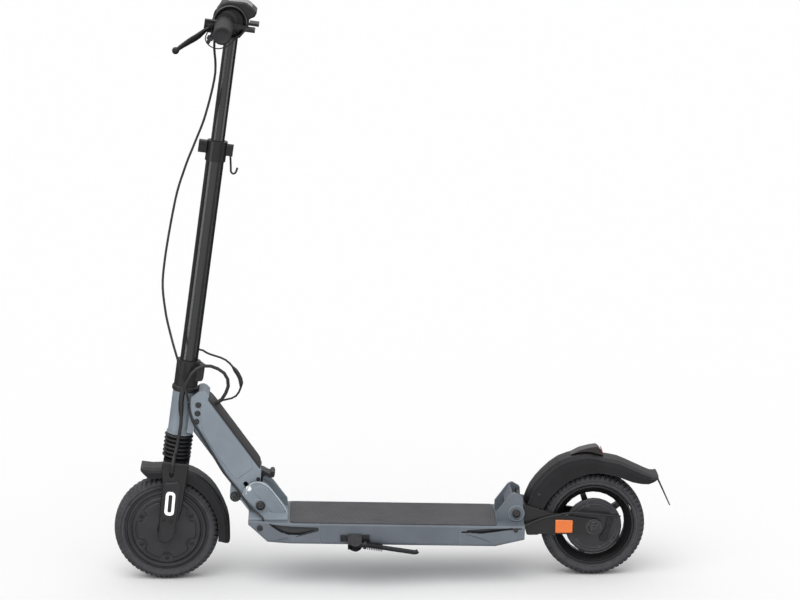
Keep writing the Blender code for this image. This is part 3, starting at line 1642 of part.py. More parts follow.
brake = node(
    "brake_plate",
    turned(
        [
            (AXLE_R + BOLT_FIT, -BRAKE_IN),
            (BRAKE_R, -BRAKE_IN),
            (BRAKE_R, -BRAKE_OUT + 2 * MM),
            (BRAKE_R - 2 * MM, -BRAKE_OUT),
            (AXLE_R + BOLT_FIT, -BRAKE_OUT),
        ],
        44,
        "Y",
    ),
    REAR,
    "swing_arm",
    "dark_steel",
)
BRAKE_STUB_R = 3.7 * MM
stub_x = BRAKE_ARM_AT[0]
stub_z = BRAKE_ARM_AT[1]
cut(
    brake,
    rod(BRAKE_STUB_R + BOLT_FIT, -60 * MM, -BRAKE_IN + 5 * MM, 20, "Y", (stub_x, 0, stub_z)),
    REAR,
)
BRAKE_ARM_FRAME = REAR @ at(stub_x, 0, stub_z)
brake_arm_outline = rounded(
    mm((-6, -7, 6), (7, -7, 6), (19.5, 36, 3), (18, 46, 4), (9, 46, 4), (2.6, 15, 8), (-6.5, 3, 4)),
    4,
)
brake_arm = node(
    "brake_arm",
    prism(brake_arm_outline, -BRAKE_OUT - 3.6 * MM, -BRAKE_OUT - 0.5 * MM),
    BRAKE_ARM_FRAME,
    "brake_arm",
    "dark_steel",
    bevel=0.6 * MM,
    segments=1,
)
join(brake_arm, rod(BRAKE_STUB_R, -BRAKE_OUT - 5 * MM, -BRAKE_IN - 1 * MM, 20, "Y"), BRAKE_ARM_FRAME)

REAR_FENDER = [
    ((-132.0, 46.5), (-96.5, 36)),
    ((-120.5, 75), (-84.5, 56)),
    ((-98, 103.5), (-68, 74)),
    ((-67, 128.5), (-47, 90.5)),
    ((-31, 139.5), (-21, 101)),
    ((-5, 140.5), (-2, 105)),
    ((20, 133.2), (15, 105)),
    ((47, 128), (42, 99)),
    ((82, 112), (74, 86.5)),
    ((112, 98), (104, 82.5)),
    ((124, 97), (119.5, 90)),
]
rear_stations = []
for crest, foot in REAR_FENDER:
    grow = TYRE_R - 100 * MM
    pair = []
    for x, z in (crest, foot):
        length = hypot(x, z)
        pair.append((x * MM + grow * x / length, z * MM + grow * z / length))
    rear_stations.append(tuple(pair))
rear_stations = eased(rear_stations)
node("rear_fender", fender(rear_stations, FENDER_HALF, FENDER_WALL), REAR, "swing_arm", "grey_plastic")
grow = TYRE_R - 100 * MM
crest_x = [crest[0] for crest, foot in rear_stations]
crest_z = [crest[1] for crest, foot in rear_stations]


def on_crest(x, above):
    """A point this far above the crest of the rear fender."""
    return (x * MM, float(np.interp(x * MM, crest_x, crest_z)) + above * MM, 0)


lamp_top = [(-26.1, 146.3, 4), (-7.1, 151.1, 4), (6.3, 152.8, 4), (12.1, 147, 4)]
lamp_corners = [on_crest(-44.5, 0.5)]
lamp_corners += [(x * MM, z * MM + grow, r * MM) for x, z, r in lamp_top]
lamp_corners += [on_crest(x, 0.5) for x in (19.5, 8, 0, -5, -18, -31)]
lamp_outline = rounded(lamp_corners, 3)
node(
    "tail_light",
    prism(lamp_outline, -13 * MM, 13 * MM),
    REAR,
    "swing_arm",
    "red_lens",
    bevel=0.8 * MM,
    segments=1,
)
flap_outline = [
    (x * MM, z * MM + grow)
    for x, z in ((119.3, 93.7), (122.9, 94.5), (147.3, 39.2), (145.2, 38.4))
]
node("mud_flap", prism(flap_outline, -24 * MM, 24 * MM), REAR, "swing_arm", "rubber")

# Side stand. The hinge frame has its z axis along the hinge, up and outward.
HINGE = STAND @ Matrix.Rotation(pi / 2 - STAND_TILT, 4, "X")
KNUCKLE_R = 8 * MM
KNUCKLE_HALF = 6 * MM
HINGE_PIN_R = 3 * MM
stand_bracket = node(
    "stand_bracket",
    box(-28 * MM, 27 * MM, STAND_SIDE - FIT - 3 * MM, STAND_SIDE - FIT, 6 * MM, 18 * MM),
    STAND,
    "deck",
    "dark_steel",
)
join(stand_bracket, box(-13 * MM, 12 * MM, KNUCKLE_R + 1.2 * MM, 20 * MM, -9.4 * MM, 9.4 * MM), HINGE)
for low, high in ((-9.4 * MM, -KNUCKLE_HALF - FIT), (KNUCKLE_HALF + FIT, 9.4 * MM)):
    cheek = rounded(
        [
            (-13 * MM, 14 * MM),
            (-10 * MM, -4 * MM, 6 * MM),
            (2 * MM, -8.5 * MM, 7 * MM),
            (12 * MM, -2 * MM, 7 * MM),
            (12 * MM, 14 * MM),
        ],
        3,
    )
    join(stand_bracket, prism(cheek, low, high, "Z"), HINGE)
join(stand_bracket, box(-14 * MM, -KNUCKLE_R - 0.8 * MM, -3 * MM, 19 * MM, -9.2 * MM, 9.2 * MM), HINGE)
cut(stand_bracket, rod(HINGE_PIN_R + BOLT_FIT, -30 * MM, 30 * MM, 16), HINGE)
cut(
    stand_bracket,
    box(-60 * MM, 60 * MM, STAND_SIDE - FIT, STAND_SIDE + 40 * MM, -60 * MM, 60 * MM),
    STAND,
)
ROD_START = (16 * MM, 0, 1.6 * MM)
ROD_DROP = radians(9.4)
ROD = STAND @ at(*ROD_START) @ turn_y(ROD_DROP)
COLLAR_END = 4 * MM
rod_route = mm((1.1, 0, 0), (40, 0, 0), (80, 0, 0), (96, 0, 0), (100, 0, 0.9), (103, 0, 3.4))
leg = node("stand_leg", pipe(rod_route, STAND_ROD_R, 14), ROD, "stand", "dark_steel")
join(leg, rod(KNUCKLE_R, -KNUCKLE_HALF, KNUCKLE_HALF, 24), HINGE)
join(leg, rod(HINGE_PIN_R, -9.2 * MM, 9.2 * MM, 16), HINGE)
join(leg, pipe([(0, 0, 0), tuple(Vector(ROD_START) * 1.12)], 5 * MM, 14), STAND)
join(leg, rod(SPRING_R + SPRING_WIRE, 0, COLLAR_END, 24, "X"), ROD)
coil(
    "stand_spring",
    SPRING_R,
    SPRING_WIRE,
    SPRING_TURNS,
    COLLAR_END + FIT,
    COLLAR_END + FIT + SPRING_LENGTH,
    ROD,
    "stand",
    "steel",
    axis="X",
)


# Cables
def on_steer(*points):
    return [world(STEER, u * MM, y * MM, s * MM) for u, y, s in points]


def on_beam(*points):
    return [world(BEAM, n * MM, y * MM, a * MM) for n, y, a in points]


def on_fold(*points):
    return [world(FOLD, x * MM, y * MM, z * MM) for x, y, z in points]


def on_rear(*points):
    return [world(REAR, x * MM, y * MM, z * MM) for x, y, z in points]


def beam_side(along):
    """Where the front side edge of the beam is at this height."""
    rows = [(row[0], row[2]) for row in BEAM_ROWS]
    return float(np.interp(along, [r[0] for r in rows], [r[1] for r in rows]))


stem_top_mm = STEM_TOP / MM
bar_mm = BAR_S / MM
beam_mm = BEAM_HALF / MM
side_y = -beam_mm - 1.7
brake_route = on_steer(
    (BAR_U / MM - 13.5, -88, bar_mm - 18),
    (BAR_U / MM - 14.5, -70, bar_mm - 27),
    (BAR_U / MM - 12.6, -45, bar_mm - 52),
    (BAR_U / MM - 8.4, -31, bar_mm - 73),
    (BAR_U / MM - 5.7, -26, bar_mm - 100),
    (-23.5, -22.5, stem_top_mm + 86),
    (-29.9, -21, stem_top_mm + 42),
    (-35.2, -20, stem_top_mm + 20),
    (-43.0, -19.5, stem_top_mm - 10),
    (-52.5, -18.8, stem_top_mm - 48),
    (-63.4, -18.5, stem_top_mm - 115),
    (-68.1, -20, 490.3),
    (-55.6, -24, 424.4),
    (-35.7, -29, 369.7),
    (-17.6, -34.8, 327.8),
    (-5.3, side_y - 2.9, 291.7),
    (4.8, side_y - 2.7, 271.9),
    (9.6, side_y - 0.7, 258),
)
cable("brake_cable_stem", brake_route, BRAKE_CABLE_R, "upper_stem")
down = []
for along in (176, 150, 122, 96):
    down.append((beam_side(along) - 1.9, side_y, along))
down += [(-18.9, side_y - 0.6, 73), (-17.4, side_y - 0.8, 50)]
beam_route = on_steer((10.2, side_y - 0.3, 255))
beam_route += on_beam(
    (5.2, side_y + 2.1, 238),
    (-1.6, side_y + 2.7, 226),
    (-6.6, side_y + 1.5, 213),
    (-9.8, side_y + 0.7, 198),
)
beam_route += on_beam(*down)
beam_route += on_fold(
    (-33.5, side_y - 3.7, 13.4),
    (-22.5, side_y - 6.3, 0.8),
    (-11, side_y - 12.8, -8.2),
    (0, -55.5, -14.6),
    (5.6, -60.4, -19.6),
    (7, -61.5, -26),
    (7, -61.5, -30),
)
beam_points = cable("brake_cable_beam", beam_route, BRAKE_CABLE_R, "beam")
cut(nose, passage(beam_points[-4:], BRAKE_CABLE_R + 0.8 * MM), WORLD)

motor_route = on_beam((43.8, -12, 206), (50, -12, 206.5), (62, -12.2, 206.5))
motor_route += on_steer(
    (80, -14, 295.3),
    (70.6, -16.5, 315.2),
    (51.5, -19.8, 325.6),
    (30.5, -23, 327.5),
    (11, -28, 314),
    (1.4, -29.8, 292),
    (-4.5, -30.2, 262.9),
    (1.0, -30.2, 213.4),
    (0, -30.2, 186),
    (-1, -31.5, 164),
    (-2.2, -37, 152.5),
    (-3.2, -45.5, 151),
    (-4.0, -52.2, 142),
    (-4.1, -53.2, 131),
    (-4.1, -51.2, 121.6),
    (-4.1, -46.5, 114),
    (-4.1, -42.6, 110),
)
motor_points = cable(
    "motor_lead",
    motor_route,
    MOTOR_LEAD_R,
    "fork",
    swell=((0.475, 0.60, 1.6),),
    spacing=2.2,
)
cut(fork, passage(motor_points[-5:], MOTOR_LEAD_R + 0.8 * MM), WORLD)
cut(cover, passage(motor_points[1::-1], MOTOR_LEAD_R + 0.6 * MM), WORLD)

display_route = on_steer(
    (14.4, 0, 352),
    (21.5, 0, 351.8),
    (35, 0.5, 346),
    (68, 3, 337.8),
    (88.6, 6, 320.2),
    (101.5, 8.5, 302),
    (103.8, 10, 284.7),
    (95.8, 10.5, 267),
    (78, 10.6, 258.5),
)
display_route += on_beam((52, 10.5, 199.5), (48, 10.5, 199.2), (43.8, 10.5, 199))
display_points = cable(
    "display_lead",
    display_route,
    DISPLAY_LEAD_R,
    "steerer",
    swell=((0.47, 0.68, 2.1),),
    spacing=2.4,
)
cut(cover, passage(display_points[-3:], DISPLAY_LEAD_R + 0.6 * MM), WORLD)
stem = bpy.data.objects["stem_outer_tube"]
cut(stem, passage(display_points[1::-1], DISPLAY_LEAD_R + 0.6 * MM), WORLD)

rear_y = -BLOCK_HALF / MM - 3.0
rear_start = ((8, -46, -24.5), (14.5, -45.8, -24), (24, -43, -21.5), (48, rear_y, -12.3))
rear_route = [world(SWING, x * MM, y * MM, z * MM) for x, y, z in rear_start]
rear_route += on_rear(
    (-62, rear_y, 27),
    (-41, rear_y, 29.5),
    (-20.8, rear_y, 28.4),
    (8, rear_y + 0.8, 25.4),
    (30, rear_y + 2.0, 22.8),
    (51, -BRAKE_OUT / MM - 6.2, 20.4),
)
rear_points = cable("brake_cable_rear", rear_route, BRAKE_CABLE_R, "swing_arm")
cut(tail, passage(rear_points[2::-1], BRAKE_CABLE_R + 0.8 * MM), WORLD)
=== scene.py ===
# %% [markdown]
# An electric scooter, finished for rendering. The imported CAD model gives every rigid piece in
# metres, and this lesson adds what CAD leaves plain: paint, rubber and plastic, tyre treads,
# screw heads, reflectors and cable fittings. The frame is loaded first and is never moved.

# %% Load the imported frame
import json
from math import cos, pi, radians, sin, sqrt, tan

import bmesh
import bpy
from mathutils import Matrix, Vector


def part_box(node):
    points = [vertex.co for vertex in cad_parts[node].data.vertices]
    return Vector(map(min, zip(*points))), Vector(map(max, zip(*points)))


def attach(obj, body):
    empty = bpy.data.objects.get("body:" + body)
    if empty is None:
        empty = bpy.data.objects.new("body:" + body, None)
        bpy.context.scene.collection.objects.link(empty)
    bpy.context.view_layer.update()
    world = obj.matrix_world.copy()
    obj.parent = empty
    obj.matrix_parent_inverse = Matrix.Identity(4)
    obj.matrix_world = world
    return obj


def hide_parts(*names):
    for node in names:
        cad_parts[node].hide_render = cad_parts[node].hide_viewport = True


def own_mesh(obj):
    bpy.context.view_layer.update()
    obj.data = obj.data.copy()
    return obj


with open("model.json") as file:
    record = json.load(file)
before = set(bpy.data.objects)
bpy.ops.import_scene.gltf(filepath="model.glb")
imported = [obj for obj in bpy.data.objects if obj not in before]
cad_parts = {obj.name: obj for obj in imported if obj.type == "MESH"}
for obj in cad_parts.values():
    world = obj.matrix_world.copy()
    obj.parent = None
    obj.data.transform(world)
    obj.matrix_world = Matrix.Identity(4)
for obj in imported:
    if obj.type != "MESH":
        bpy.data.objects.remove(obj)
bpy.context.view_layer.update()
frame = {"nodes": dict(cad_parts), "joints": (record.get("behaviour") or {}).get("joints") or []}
MM = 0.001

# %% [markdown]
# The photograph was taken with a long lens from the rider's left, a little above the deck, so
# the camera stands five metres away. Its place was solved from the outlines of the two tyres.

# %% Camera
scene = bpy.context.scene
CAMERA_AT = Vector((-0.15695, -5.2296, 1.6988))
CAMERA_PITCH = 0.2182
CAMERA_YAW = 0.0328
SENSOR_WIDTH = 36.0
LENS_FOR_PHOTO = 128.07


def place_in_scene(name, data):
    """Makes an object of its data and puts it in the scene."""
    item = bpy.data.objects.new(name, data)
    scene.collection.objects.link(item)
    return item


lens_data = bpy.data.cameras.new("photo_camera")
lens_data.lens = LENS_FOR_PHOTO
lens_data.sensor_width = SENSOR_WIDTH
camera = place_in_scene("photo_camera", lens_data)
camera.location = CAMERA_AT
camera.rotation_euler = (pi / 2 - CAMERA_PITCH, 0, -CAMERA_YAW)
scene.camera = camera
print("camera at", tuple(camera.location), "lens", lens_data.lens, "mm")

# %% [markdown]
# A studio sweep is one white surface with no edge in sight. The floor could be lit until it
# burns out, but then its soft shadow would too. Here the sky and one very soft sun together
# bring white paper to exactly white. Black paint shows its surroundings more than its colour,
# so mirrored rays see a sky that is bright above and in front, with two tall soft boxes aside.

# %% Floor, sky and lamps
SKY_LIGHT = 0.7
SUN_LIGHT = 1.16
MIRRORED_LOW, MIRRORED_HIGH, MIRRORED_FRONT = 0.08, 1.3, 1.1
FLOOR_HALF = 40.0
PAPER_WHITE = (0.98, 0.98, 0.98, 1)
SUN_SPREAD = radians(60)
SUN_TURN = (radians(28), radians(-14), 0)
SOFT_BOXES = (("soft_box_right", (3.2, -1.0, 0.2), 26.0), ("soft_box_left", (-3.4, -1.6, 0.4), 34.0))
SOFT_BOX_SIZE = (0.7, 3.0)
SOFT_BOX_AIM = Vector((0, 0, 0.5))
WHITE = (1, 1, 1, 1)


def linear(code, alpha=1.0):
    """An sRGB hex code as the linear colour that a shader works in."""
    channels = [int(code[i:i + 2], 16) / 255 for i in (1, 3, 5)]
    curve = [c / 12.92 if c <= 0.04045 else ((c + 0.055) / 1.055) ** 2.4 for c in channels]
    return (*curve, alpha)


def tune(node, **settings):
    """Sets a node's sockets or attributes by name, with _ for each space."""
    for name, value in settings.items():
        socket = node.inputs.get(name.replace("_", " "))
        if socket is not None:
            socket.default_value = value
        else:
            setattr(node, name, value)


def add(tree, kind, links=(), **settings):
    """Adds one node. Links are {socket: source}, and settings are as for tune()."""
    node = tree.nodes.new("ShaderNode" + kind)
    tune(node, **settings)
    for name, source in dict(links).items():
        tree.links.new(source, node.inputs[name])
    return node


def start_material(name):
    """A new material and its Principled shader."""
    material = bpy.data.materials.new(name)
    material.use_nodes = True
    return material, material.node_tree.nodes["Principled BSDF"]


def sky_mix(tree, share, first, second):
    """Mixes two backgrounds by a share."""
    return add(tree, "MixShader", {0: share, 1: first.outputs[0], 2: second.outputs[0]})


floor_mesh = bpy.data.meshes.new("studio_floor")
floor_corners = [(x * FLOOR_HALF, y * FLOOR_HALF, 0) for x, y in ((-1, -1), (1, -1), (1, 1), (-1, 1))]
floor_mesh.from_pydata(floor_corners, [], [(0, 1, 2, 3)])
floor = place_in_scene("studio_floor", floor_mesh)
floor.visible_glossy = False
paper, shader = start_material("matte_white_paper")
tune(shader, Base_Color=PAPER_WHITE, Roughness=1.0, Specular_IOR_Level=0.0)
floor_mesh.materials.append(paper)

world = bpy.data.worlds.new("studio_sky")
scene.world = world
world.use_nodes = True
sky = world.node_tree
sky.nodes.clear()
ray = add(sky, "LightPath").outputs
seen = add(
    sky, "Math", {0: ray["Is Camera Ray"], 1: ray["Is Transmission Ray"]}, operation="MAXIMUM"
)
direction = add(sky, "TexCoord")
height = add(sky, "SeparateXYZ", {"Vector": direction.outputs["Generated"]})
above = add(
    sky, "MapRange", {"Value": height.outputs["Z"]},
    From_Min=-0.2, From_Max=0.8, To_Min=MIRRORED_LOW, To_Max=MIRRORED_HIGH,
)
in_front = add(
    sky, "MapRange", {"Value": height.outputs["Y"]},
    From_Min=-0.35, From_Max=-0.9, To_Min=0.0, To_Max=MIRRORED_FRONT,
)
brighter = add(sky, "Math", {0: above.outputs[0], 1: in_front.outputs[0]}, operation="MAXIMUM")
lighting = add(sky, "Background", Color=WHITE, Strength=SKY_LIGHT)
backdrop = add(sky, "Background", Color=WHITE, Strength=1.0)
mirrored = add(sky, "Background", {"Strength": brighter.outputs[0]}, Color=WHITE)
unseen = sky_mix(sky, ray["Is Glossy Ray"], lighting, mirrored)
whole_sky = sky_mix(sky, seen.outputs[0], unseen, backdrop)
add(sky, "OutputWorld", {"Surface": whole_sky.outputs[0]})

sun_data = bpy.data.lights.new("soft_sun", "SUN")
sun_data.energy = SUN_LIGHT
sun_data.angle = SUN_SPREAD
place_in_scene("soft_sun", sun_data).rotation_euler = SUN_TURN
for name, place, power in SOFT_BOXES:
    box_data = bpy.data.lights.new(name, "AREA")
    box_data.shape = "RECTANGLE"
    box_data.size, box_data.size_y = SOFT_BOX_SIZE
    box_data.energy = power
    soft_box = place_in_scene(name, box_data)
    soft_box.location = place
    soft_box.rotation_euler = (SOFT_BOX_AIM - Vector(place)).to_track_quat("-Z", "Y").to_euler()
    soft_box.visible_camera = False
    soft_box.visible_diffuse = False
scene.view_settings.view_transform = "Standard"
print("sky", SKY_LIGHT, "sun", SUN_LIGHT, "floor", 2 * FLOOR_HALF, "m wide")

# %% [markdown]
# A finish is more than a colour: real paint has a faint orange peel, moulded plastic carries
# the grain of its mould, and every machined edge is rounded enough to catch a line of light.
# That line is also painted in as a lighter tone on the edges, a painted highlight.
# One function makes a whole finish from these, and each finish below is one call of it.

# %% Helpers for finishes
BEVEL_SAMPLES = 4
FLAT_ENOUGH, SHARP_ENOUGH = 0.995, 0.9
MIX_FIRST, MIX_SECOND, MIX_RESULT = 6, 7, 2
FINISH = {}


def grain(tree, shader, size, height, detail, stretch, edge, voronoi):
    """A bump whose bumps are size across and height high, in metres; edge rounds the edges."""
    place = add(tree, "TexCoord").outputs["Object"]
    scaled = add(tree, "Mapping", {"Vector": place}, Scale=stretch).outputs[0]
    if voronoi:
        level = add(tree, "TexVoronoi", {"Vector": scaled}, Scale=1 / size).outputs["Distance"]
    else:
        spots = add(tree, "TexNoise", {"Vector": scaled}, Scale=1 / size, Detail=detail)
        level = spots.outputs["Fac"]
    bump = add(tree, "Bump", {"Height": level}, Distance=height, Strength=1.0)
    if edge:
        rounded_edge = add(tree, "Bevel", Radius=edge, samples=BEVEL_SAMPLES)
        tree.links.new(rounded_edge.outputs[0], bump.inputs["Normal"])
    tree.links.new(bump.outputs[0], shader.inputs["Normal"])
    return place


def cloudy(tree, shader, place, code_a, code_b, size, contrast):
    """Lets the colour drift between two close tones in patches of that size."""
    patches = add(tree, "TexNoise", {"Vector": place}, Scale=1 / size, Detail=4.0)
    ramp = add(tree, "ValToRGB", {"Fac": patches.outputs["Fac"]})
    for element, position, code in zip(ramp.color_ramp.elements, contrast, (code_a, code_b)):
        element.position = position
        element.color = linear(code)
    tree.links.new(ramp.outputs["Color"], shader.inputs["Base Color"])
    return ramp.outputs["Color"]


def uneven_gloss(tree, shader, place, low, high, size):
    """Lets the roughness drift between two values in patches of that size."""
    patches = add(tree, "TexNoise", {"Vector": place}, Scale=1 / size, Detail=3.0)
    spread = add(tree, "MapRange", {"Value": patches.outputs["Fac"]}, To_Min=low, To_Max=high)
    tree.links.new(spread.outputs[0], shader.inputs["Roughness"])


def painted_edge_highlight(tree, shader, colour, code, radius, share):
    """A painted highlight: mixes a lighter tone in where the surface turns a corner, where a rounded edge
    catches light.
    """
    bevelled = add(tree, "Bevel", Radius=radius, samples=BEVEL_SAMPLES)
    flat = add(tree, "NewGeometry")
    ends = {0: bevelled.outputs[0], 1: flat.outputs["Normal"]}
    turn = add(tree, "VectorMath", ends, operation="DOT_PRODUCT")
    mask = add(
        tree, "MapRange", {"Value": turn.outputs["Value"]},
        From_Min=FLAT_ENOUGH, From_Max=SHARP_ENOUGH, To_Min=0.0, To_Max=share,
    )
    tone = add(tree, "Mix", {0: mask.outputs[0]}, data_type="RGBA")
    tree.links.new(colour, tone.inputs[MIX_FIRST])
    tone.inputs[MIX_SECOND].default_value = linear(code)
    tree.links.new(tone.outputs[MIX_RESULT], shader.inputs["Base Color"])


def finish(
    key, name, tones, roughness, bumps, gloss=(), edge=(), glow=(),
    stretch=(1, 1, 1), detail=2.0, voronoi=False, contrast=(0.35, 0.65), metallic=0.0, coat=(0.0, 0.2),
    specular=0.5,
):
    """Makes one finish and returns its tree, shader and colour. Sizes here are in mm.

    tones: one code, or two and a patch size; bumps: size, height and perhaps an edge radius;
    gloss: two roughness values and a patch size; edge: code, radius and share of a painted
    highlight on the edges; glow: code and strength of a painted glow; coat: weight and roughness.
    """
    material, shader = start_material(name)
    tree = material.node_tree
    tune(
        shader, Base_Color=linear(tones[0]), Roughness=roughness, Metallic=metallic, Coat_Weight=coat[0],
        Coat_Roughness=coat[1], Specular_IOR_Level=specular,
    )
    size, height, *edge_radius = (value * MM for value in bumps)
    place = grain(tree, shader, size, height, detail, stretch, sum(edge_radius), voronoi)
    colour = cloudy(tree, shader, place, *tones[:2], tones[2] * MM, contrast) if len(tones) > 1 else None
    if gloss:
        uneven_gloss(tree, shader, place, *gloss[:2], gloss[2] * MM)
    if edge:
        painted_edge_highlight(tree, shader, colour, edge[0], edge[1] * MM, edge[2])
    if glow:
        tune(shader, Emission_Color=linear(glow[0]), Emission_Strength=glow[1])
    FINISH[key] = material
    return tree, shader, colour


print("helpers ready")

# %% [markdown]
# The folding beam, the head tube and both ends of the deck are aluminium castings. They are
# powder coated in a blue-grey, which leaves a satin skin with orange peel about 2 mm across,
# with a lighter tone painted on the rounded edges as a painted highlight. The deck ends take a
# darker copy of the same paint: painted shade for their lower faces, where less light falls.
# Real orange peel is 20 microns high.

# %% Powder-coated cast aluminium
PEEL = (2.2, 0.02, 0.9)
# Each row: key, name, two paint tones and an edge code, the painted highlight on the rounded edges. The
# second row is the same paint darkened as painted shade for the deck ends.
for key, name, dark, light, edge in (
    ("cast_paint", "powder_coated_cast_aluminium", "#7A848E", "#858F99", "#A9B2BA"),
    ("shaded_end_paint", "cast_deck_ends_paint_with_painted_shade", "#626971", "#6C737C", "#98A1AA"),
):
    finish(key, name, (dark, light, 60), 0.44, PEEL, (0.38, 0.5, 25), (edge, 1.1, 0.6), coat=(0.12, 0.25))
print("orange peel", PEEL[0], "mm")

# %% [markdown]
# The deck is an aluminium extrusion. The press leaves fine lines along its length, which still
# show through thin paint as a streaky gloss, so the grain is stretched forty times along X.

# %% Painted extruded aluminium
DIE_LINES = (0.6, 0.012, 0.9)
# The edge code is a painted highlight along the extrusion's rounded edges.
finish(
    "deck_paint", "painted_extruded_aluminium", ("#5B626B", "#656C76", 70), 0.42, DIE_LINES,
    (0.36, 0.48, 18), ("#8B949D", 1.1, 0.5), stretch=(1 / 40, 1, 1), coat=(0.1, 0.25),
)
print("die lines", DIE_LINES[0], "mm apart")

# %% [markdown]
# The steering tubes, the fork, the swing arm and the wheels are painted satin black. Black
# paint shows almost nothing but what it reflects, so its roughness matters more than its colour.

# %% Satin black powder coat
# The edge code is a painted highlight along the rounded edges of the black paint.
finish(
    "black_paint", "satin_black_powder_coat", ("#19191B", "#202022", 45), 0.36, (1.6, 0.014, 0.7),
    (0.3, 0.42, 30), ("#3C3C40", 0.9, 0.5), coat=(0.1, 0.2), specular=0.3,
)
finish(
    "tube_paint", "gloss_black_anodised_tube", ("#141416", "#19191C", 60), 0.24, (0.8, 0.006),
    stretch=(1, 1, 1 / 20), coat=(0.3, 0.12),
)
# The edge code is a painted highlight along the motor cover's edges.
finish(
    "motor_black", "black_cast_motor_cover", ("#1B1B20", "#25252B", 30), 0.42, (1.2, 0.02, 0.5),
    edge=("#45454C", 0.7, 0.6),
)
print("black paints made")

# %% [markdown]
# Fenders, covers and the handlebar head are moulded. Polypropylene fenders and ABS housings
# take a spark-eroded grain from the steel mould, about half a millimetre across, which breaks
# up the shine. It is drawn at 0.8 mm so that it shows at this distance.

# %% Moulded plastics
MOULD_GRAIN = 0.8
# The edge code is a painted highlight along the moulded edges.
finish(
    "abs", "moulded_abs", ("#1B1B1D", "#222225", 40), 0.46, (MOULD_GRAIN, 0.03, 0.6),
    edge=("#48484C", 0.8, 0.4), specular=0.42,
)
# The edge code is a painted highlight, the light edge along the fender's top.
finish(
    "fender_plastic", "moulded_polypropylene", ("#141416", "#1C1C1F", 50), 0.4, (MOULD_GRAIN, 0.025, 0.8),
    edge=("#6A6A70", 1.0, 0.7), specular=0.26,
)
finish("inlay", "grey_moulded_inlay", ("#25262A", "#303135", 12), 0.38, (0.5, 0.02, 0.5), specular=0.4)
print("mould grain", MOULD_GRAIN, "mm")

# %% [markdown]
# Rubber is matte because its skin is porous at a scale too fine to see. The tyre compound is
# greyer where it has been handled, with a painted highlight on the edges of its blocks, the deck
# mat is a lighter grey silicone with painted shade in the valleys of its waves, and the bellows
# and grips are a closed black rubber with a painted highlight on their edges.

# %% Rubbers
# The edge code is a painted highlight on the edges of the tread blocks.
finish(
    "tyre", "tyre_rubber_compound", ("#303033", "#434347", 22), 0.72, (1.1, 0.05),
    (0.62, 0.82, 15), ("#8A8A90", 1.0, 0.7), detail=5.0, contrast=(0.3, 0.75),
)
tree, shader, colour = finish(
    "mat", "silicone_deck_mat", ("#414144", "#4B4B4F", 35), 0.62, (0.9, 0.05), detail=4.0
)
# Painted shade: the mat's colour is darkened in the valleys of its waves, by the wave height.
wave = add(tree, "Attribute", attribute_name="wave")
valley_shade = add(tree, "MapRange", {"Value": wave.outputs["Fac"]}, To_Min=0.62, To_Max=1.12)
shaded_mat_colour = add(tree, "VectorMath", {0: colour, "Scale": valley_shade.outputs[0]}, operation="SCALE")
tree.links.new(shaded_mat_colour.outputs[0], shader.inputs["Base Color"])
# The edge code is a painted highlight along the rubber's edges.
finish(
    "rubber", "moulded_epdm_rubber", ("#18181A", "#222225", 15), 0.5, (0.7, 0.03),
    edge=("#55555A", 0.8, 0.5), detail=3.0, specular=0.4,
)
print("rubbers made")

# %% [markdown]
# Springs and pins are zinc plated and bright, and levers and screws are oxidised black, with a
# painted highlight on their edges. The pin caps have a painted glow, the cheek beads and the
# brake plate's edges a painted highlight, and the dark pieces in the deck's pockets and creases
# are painted shadow and painted shade. Metals keep the default IOR.

# %% Metals
finish("zinc", "zinc_plated_steel", ("#AEB0B3", "#C4C6C9", 6), 0.3, (0.5, 0.006), metallic=1.0)
# The edge code is a painted highlight on the edges of levers and pins.
finish(
    "black_steel", "black_oxide_steel", ("#1F1F21", "#2C2C2F", 8), 0.38, (0.4, 0.008, 0.4),
    edge=("#6A6A6D", 0.5, 0.5), metallic=0.6,
)
# The strong edge code is a painted highlight, the light ring round each screw head.
finish(
    "screw_black", "black_screw_steel", ("#0D0D0E", "#151516", 6), 0.3, (0.4, 0.006, 0.3),
    edge=("#8C8C90", 0.7, 0.85),
)
# The white glow on this zinc is a painted glow, not a lamp.
finish(
    "zinc_painted_glow", "chromate_zinc_with_painted_glow", ("#DCDDDF", "#EDEEF0", 5), 0.22, (0.5, 0.005),
    glow=("#FFFFFF", 0.18), metallic=0.8,
)
# A light tone for the cheek beads: a painted highlight along the cheek's rim.
finish(
    "bead_highlight", "painted_highlight_on_cast_paint", ("#A6AFB7", "#C3CBD1", 14), 0.34, (1.2, 0.012),
    coat=(0.3, 0.15),
)
# Near black sheets of painted shadow for the pockets of the leaf inlays.
finish("recess", "shadowed_recess", ("#090A0C", "#101216", 9), 0.6, (0.8, 0.02), specular=0.2)
# Darker lines of painted shade where the deck ends fold in a crease.
finish("crease", "painted_crease_shade", ("#41474F", "#50565F", 12), 0.5, (1.6, 0.02), specular=0.3)
# The light edge code is a painted highlight on the edges of the raised bosses and ribs.
finish(
    "plate_relief", "cast_relief_painted_edge_highlight", ("#26262A", "#333338", 10), 0.36, (1.0, 0.015, 0.4),
    edge=("#77777D", 0.6, 0.8), specular=0.45,
)
print("metals made")

# %% [markdown]
# The rest is small but bright: cable jackets of soft vinyl, the battery's heat-shrink wrap, the
# silver display cover, moulded reflectors whose back is a field of tiny prisms, and the white
# reflective film in the fork covers. A little emission stands for what reflectors send back.

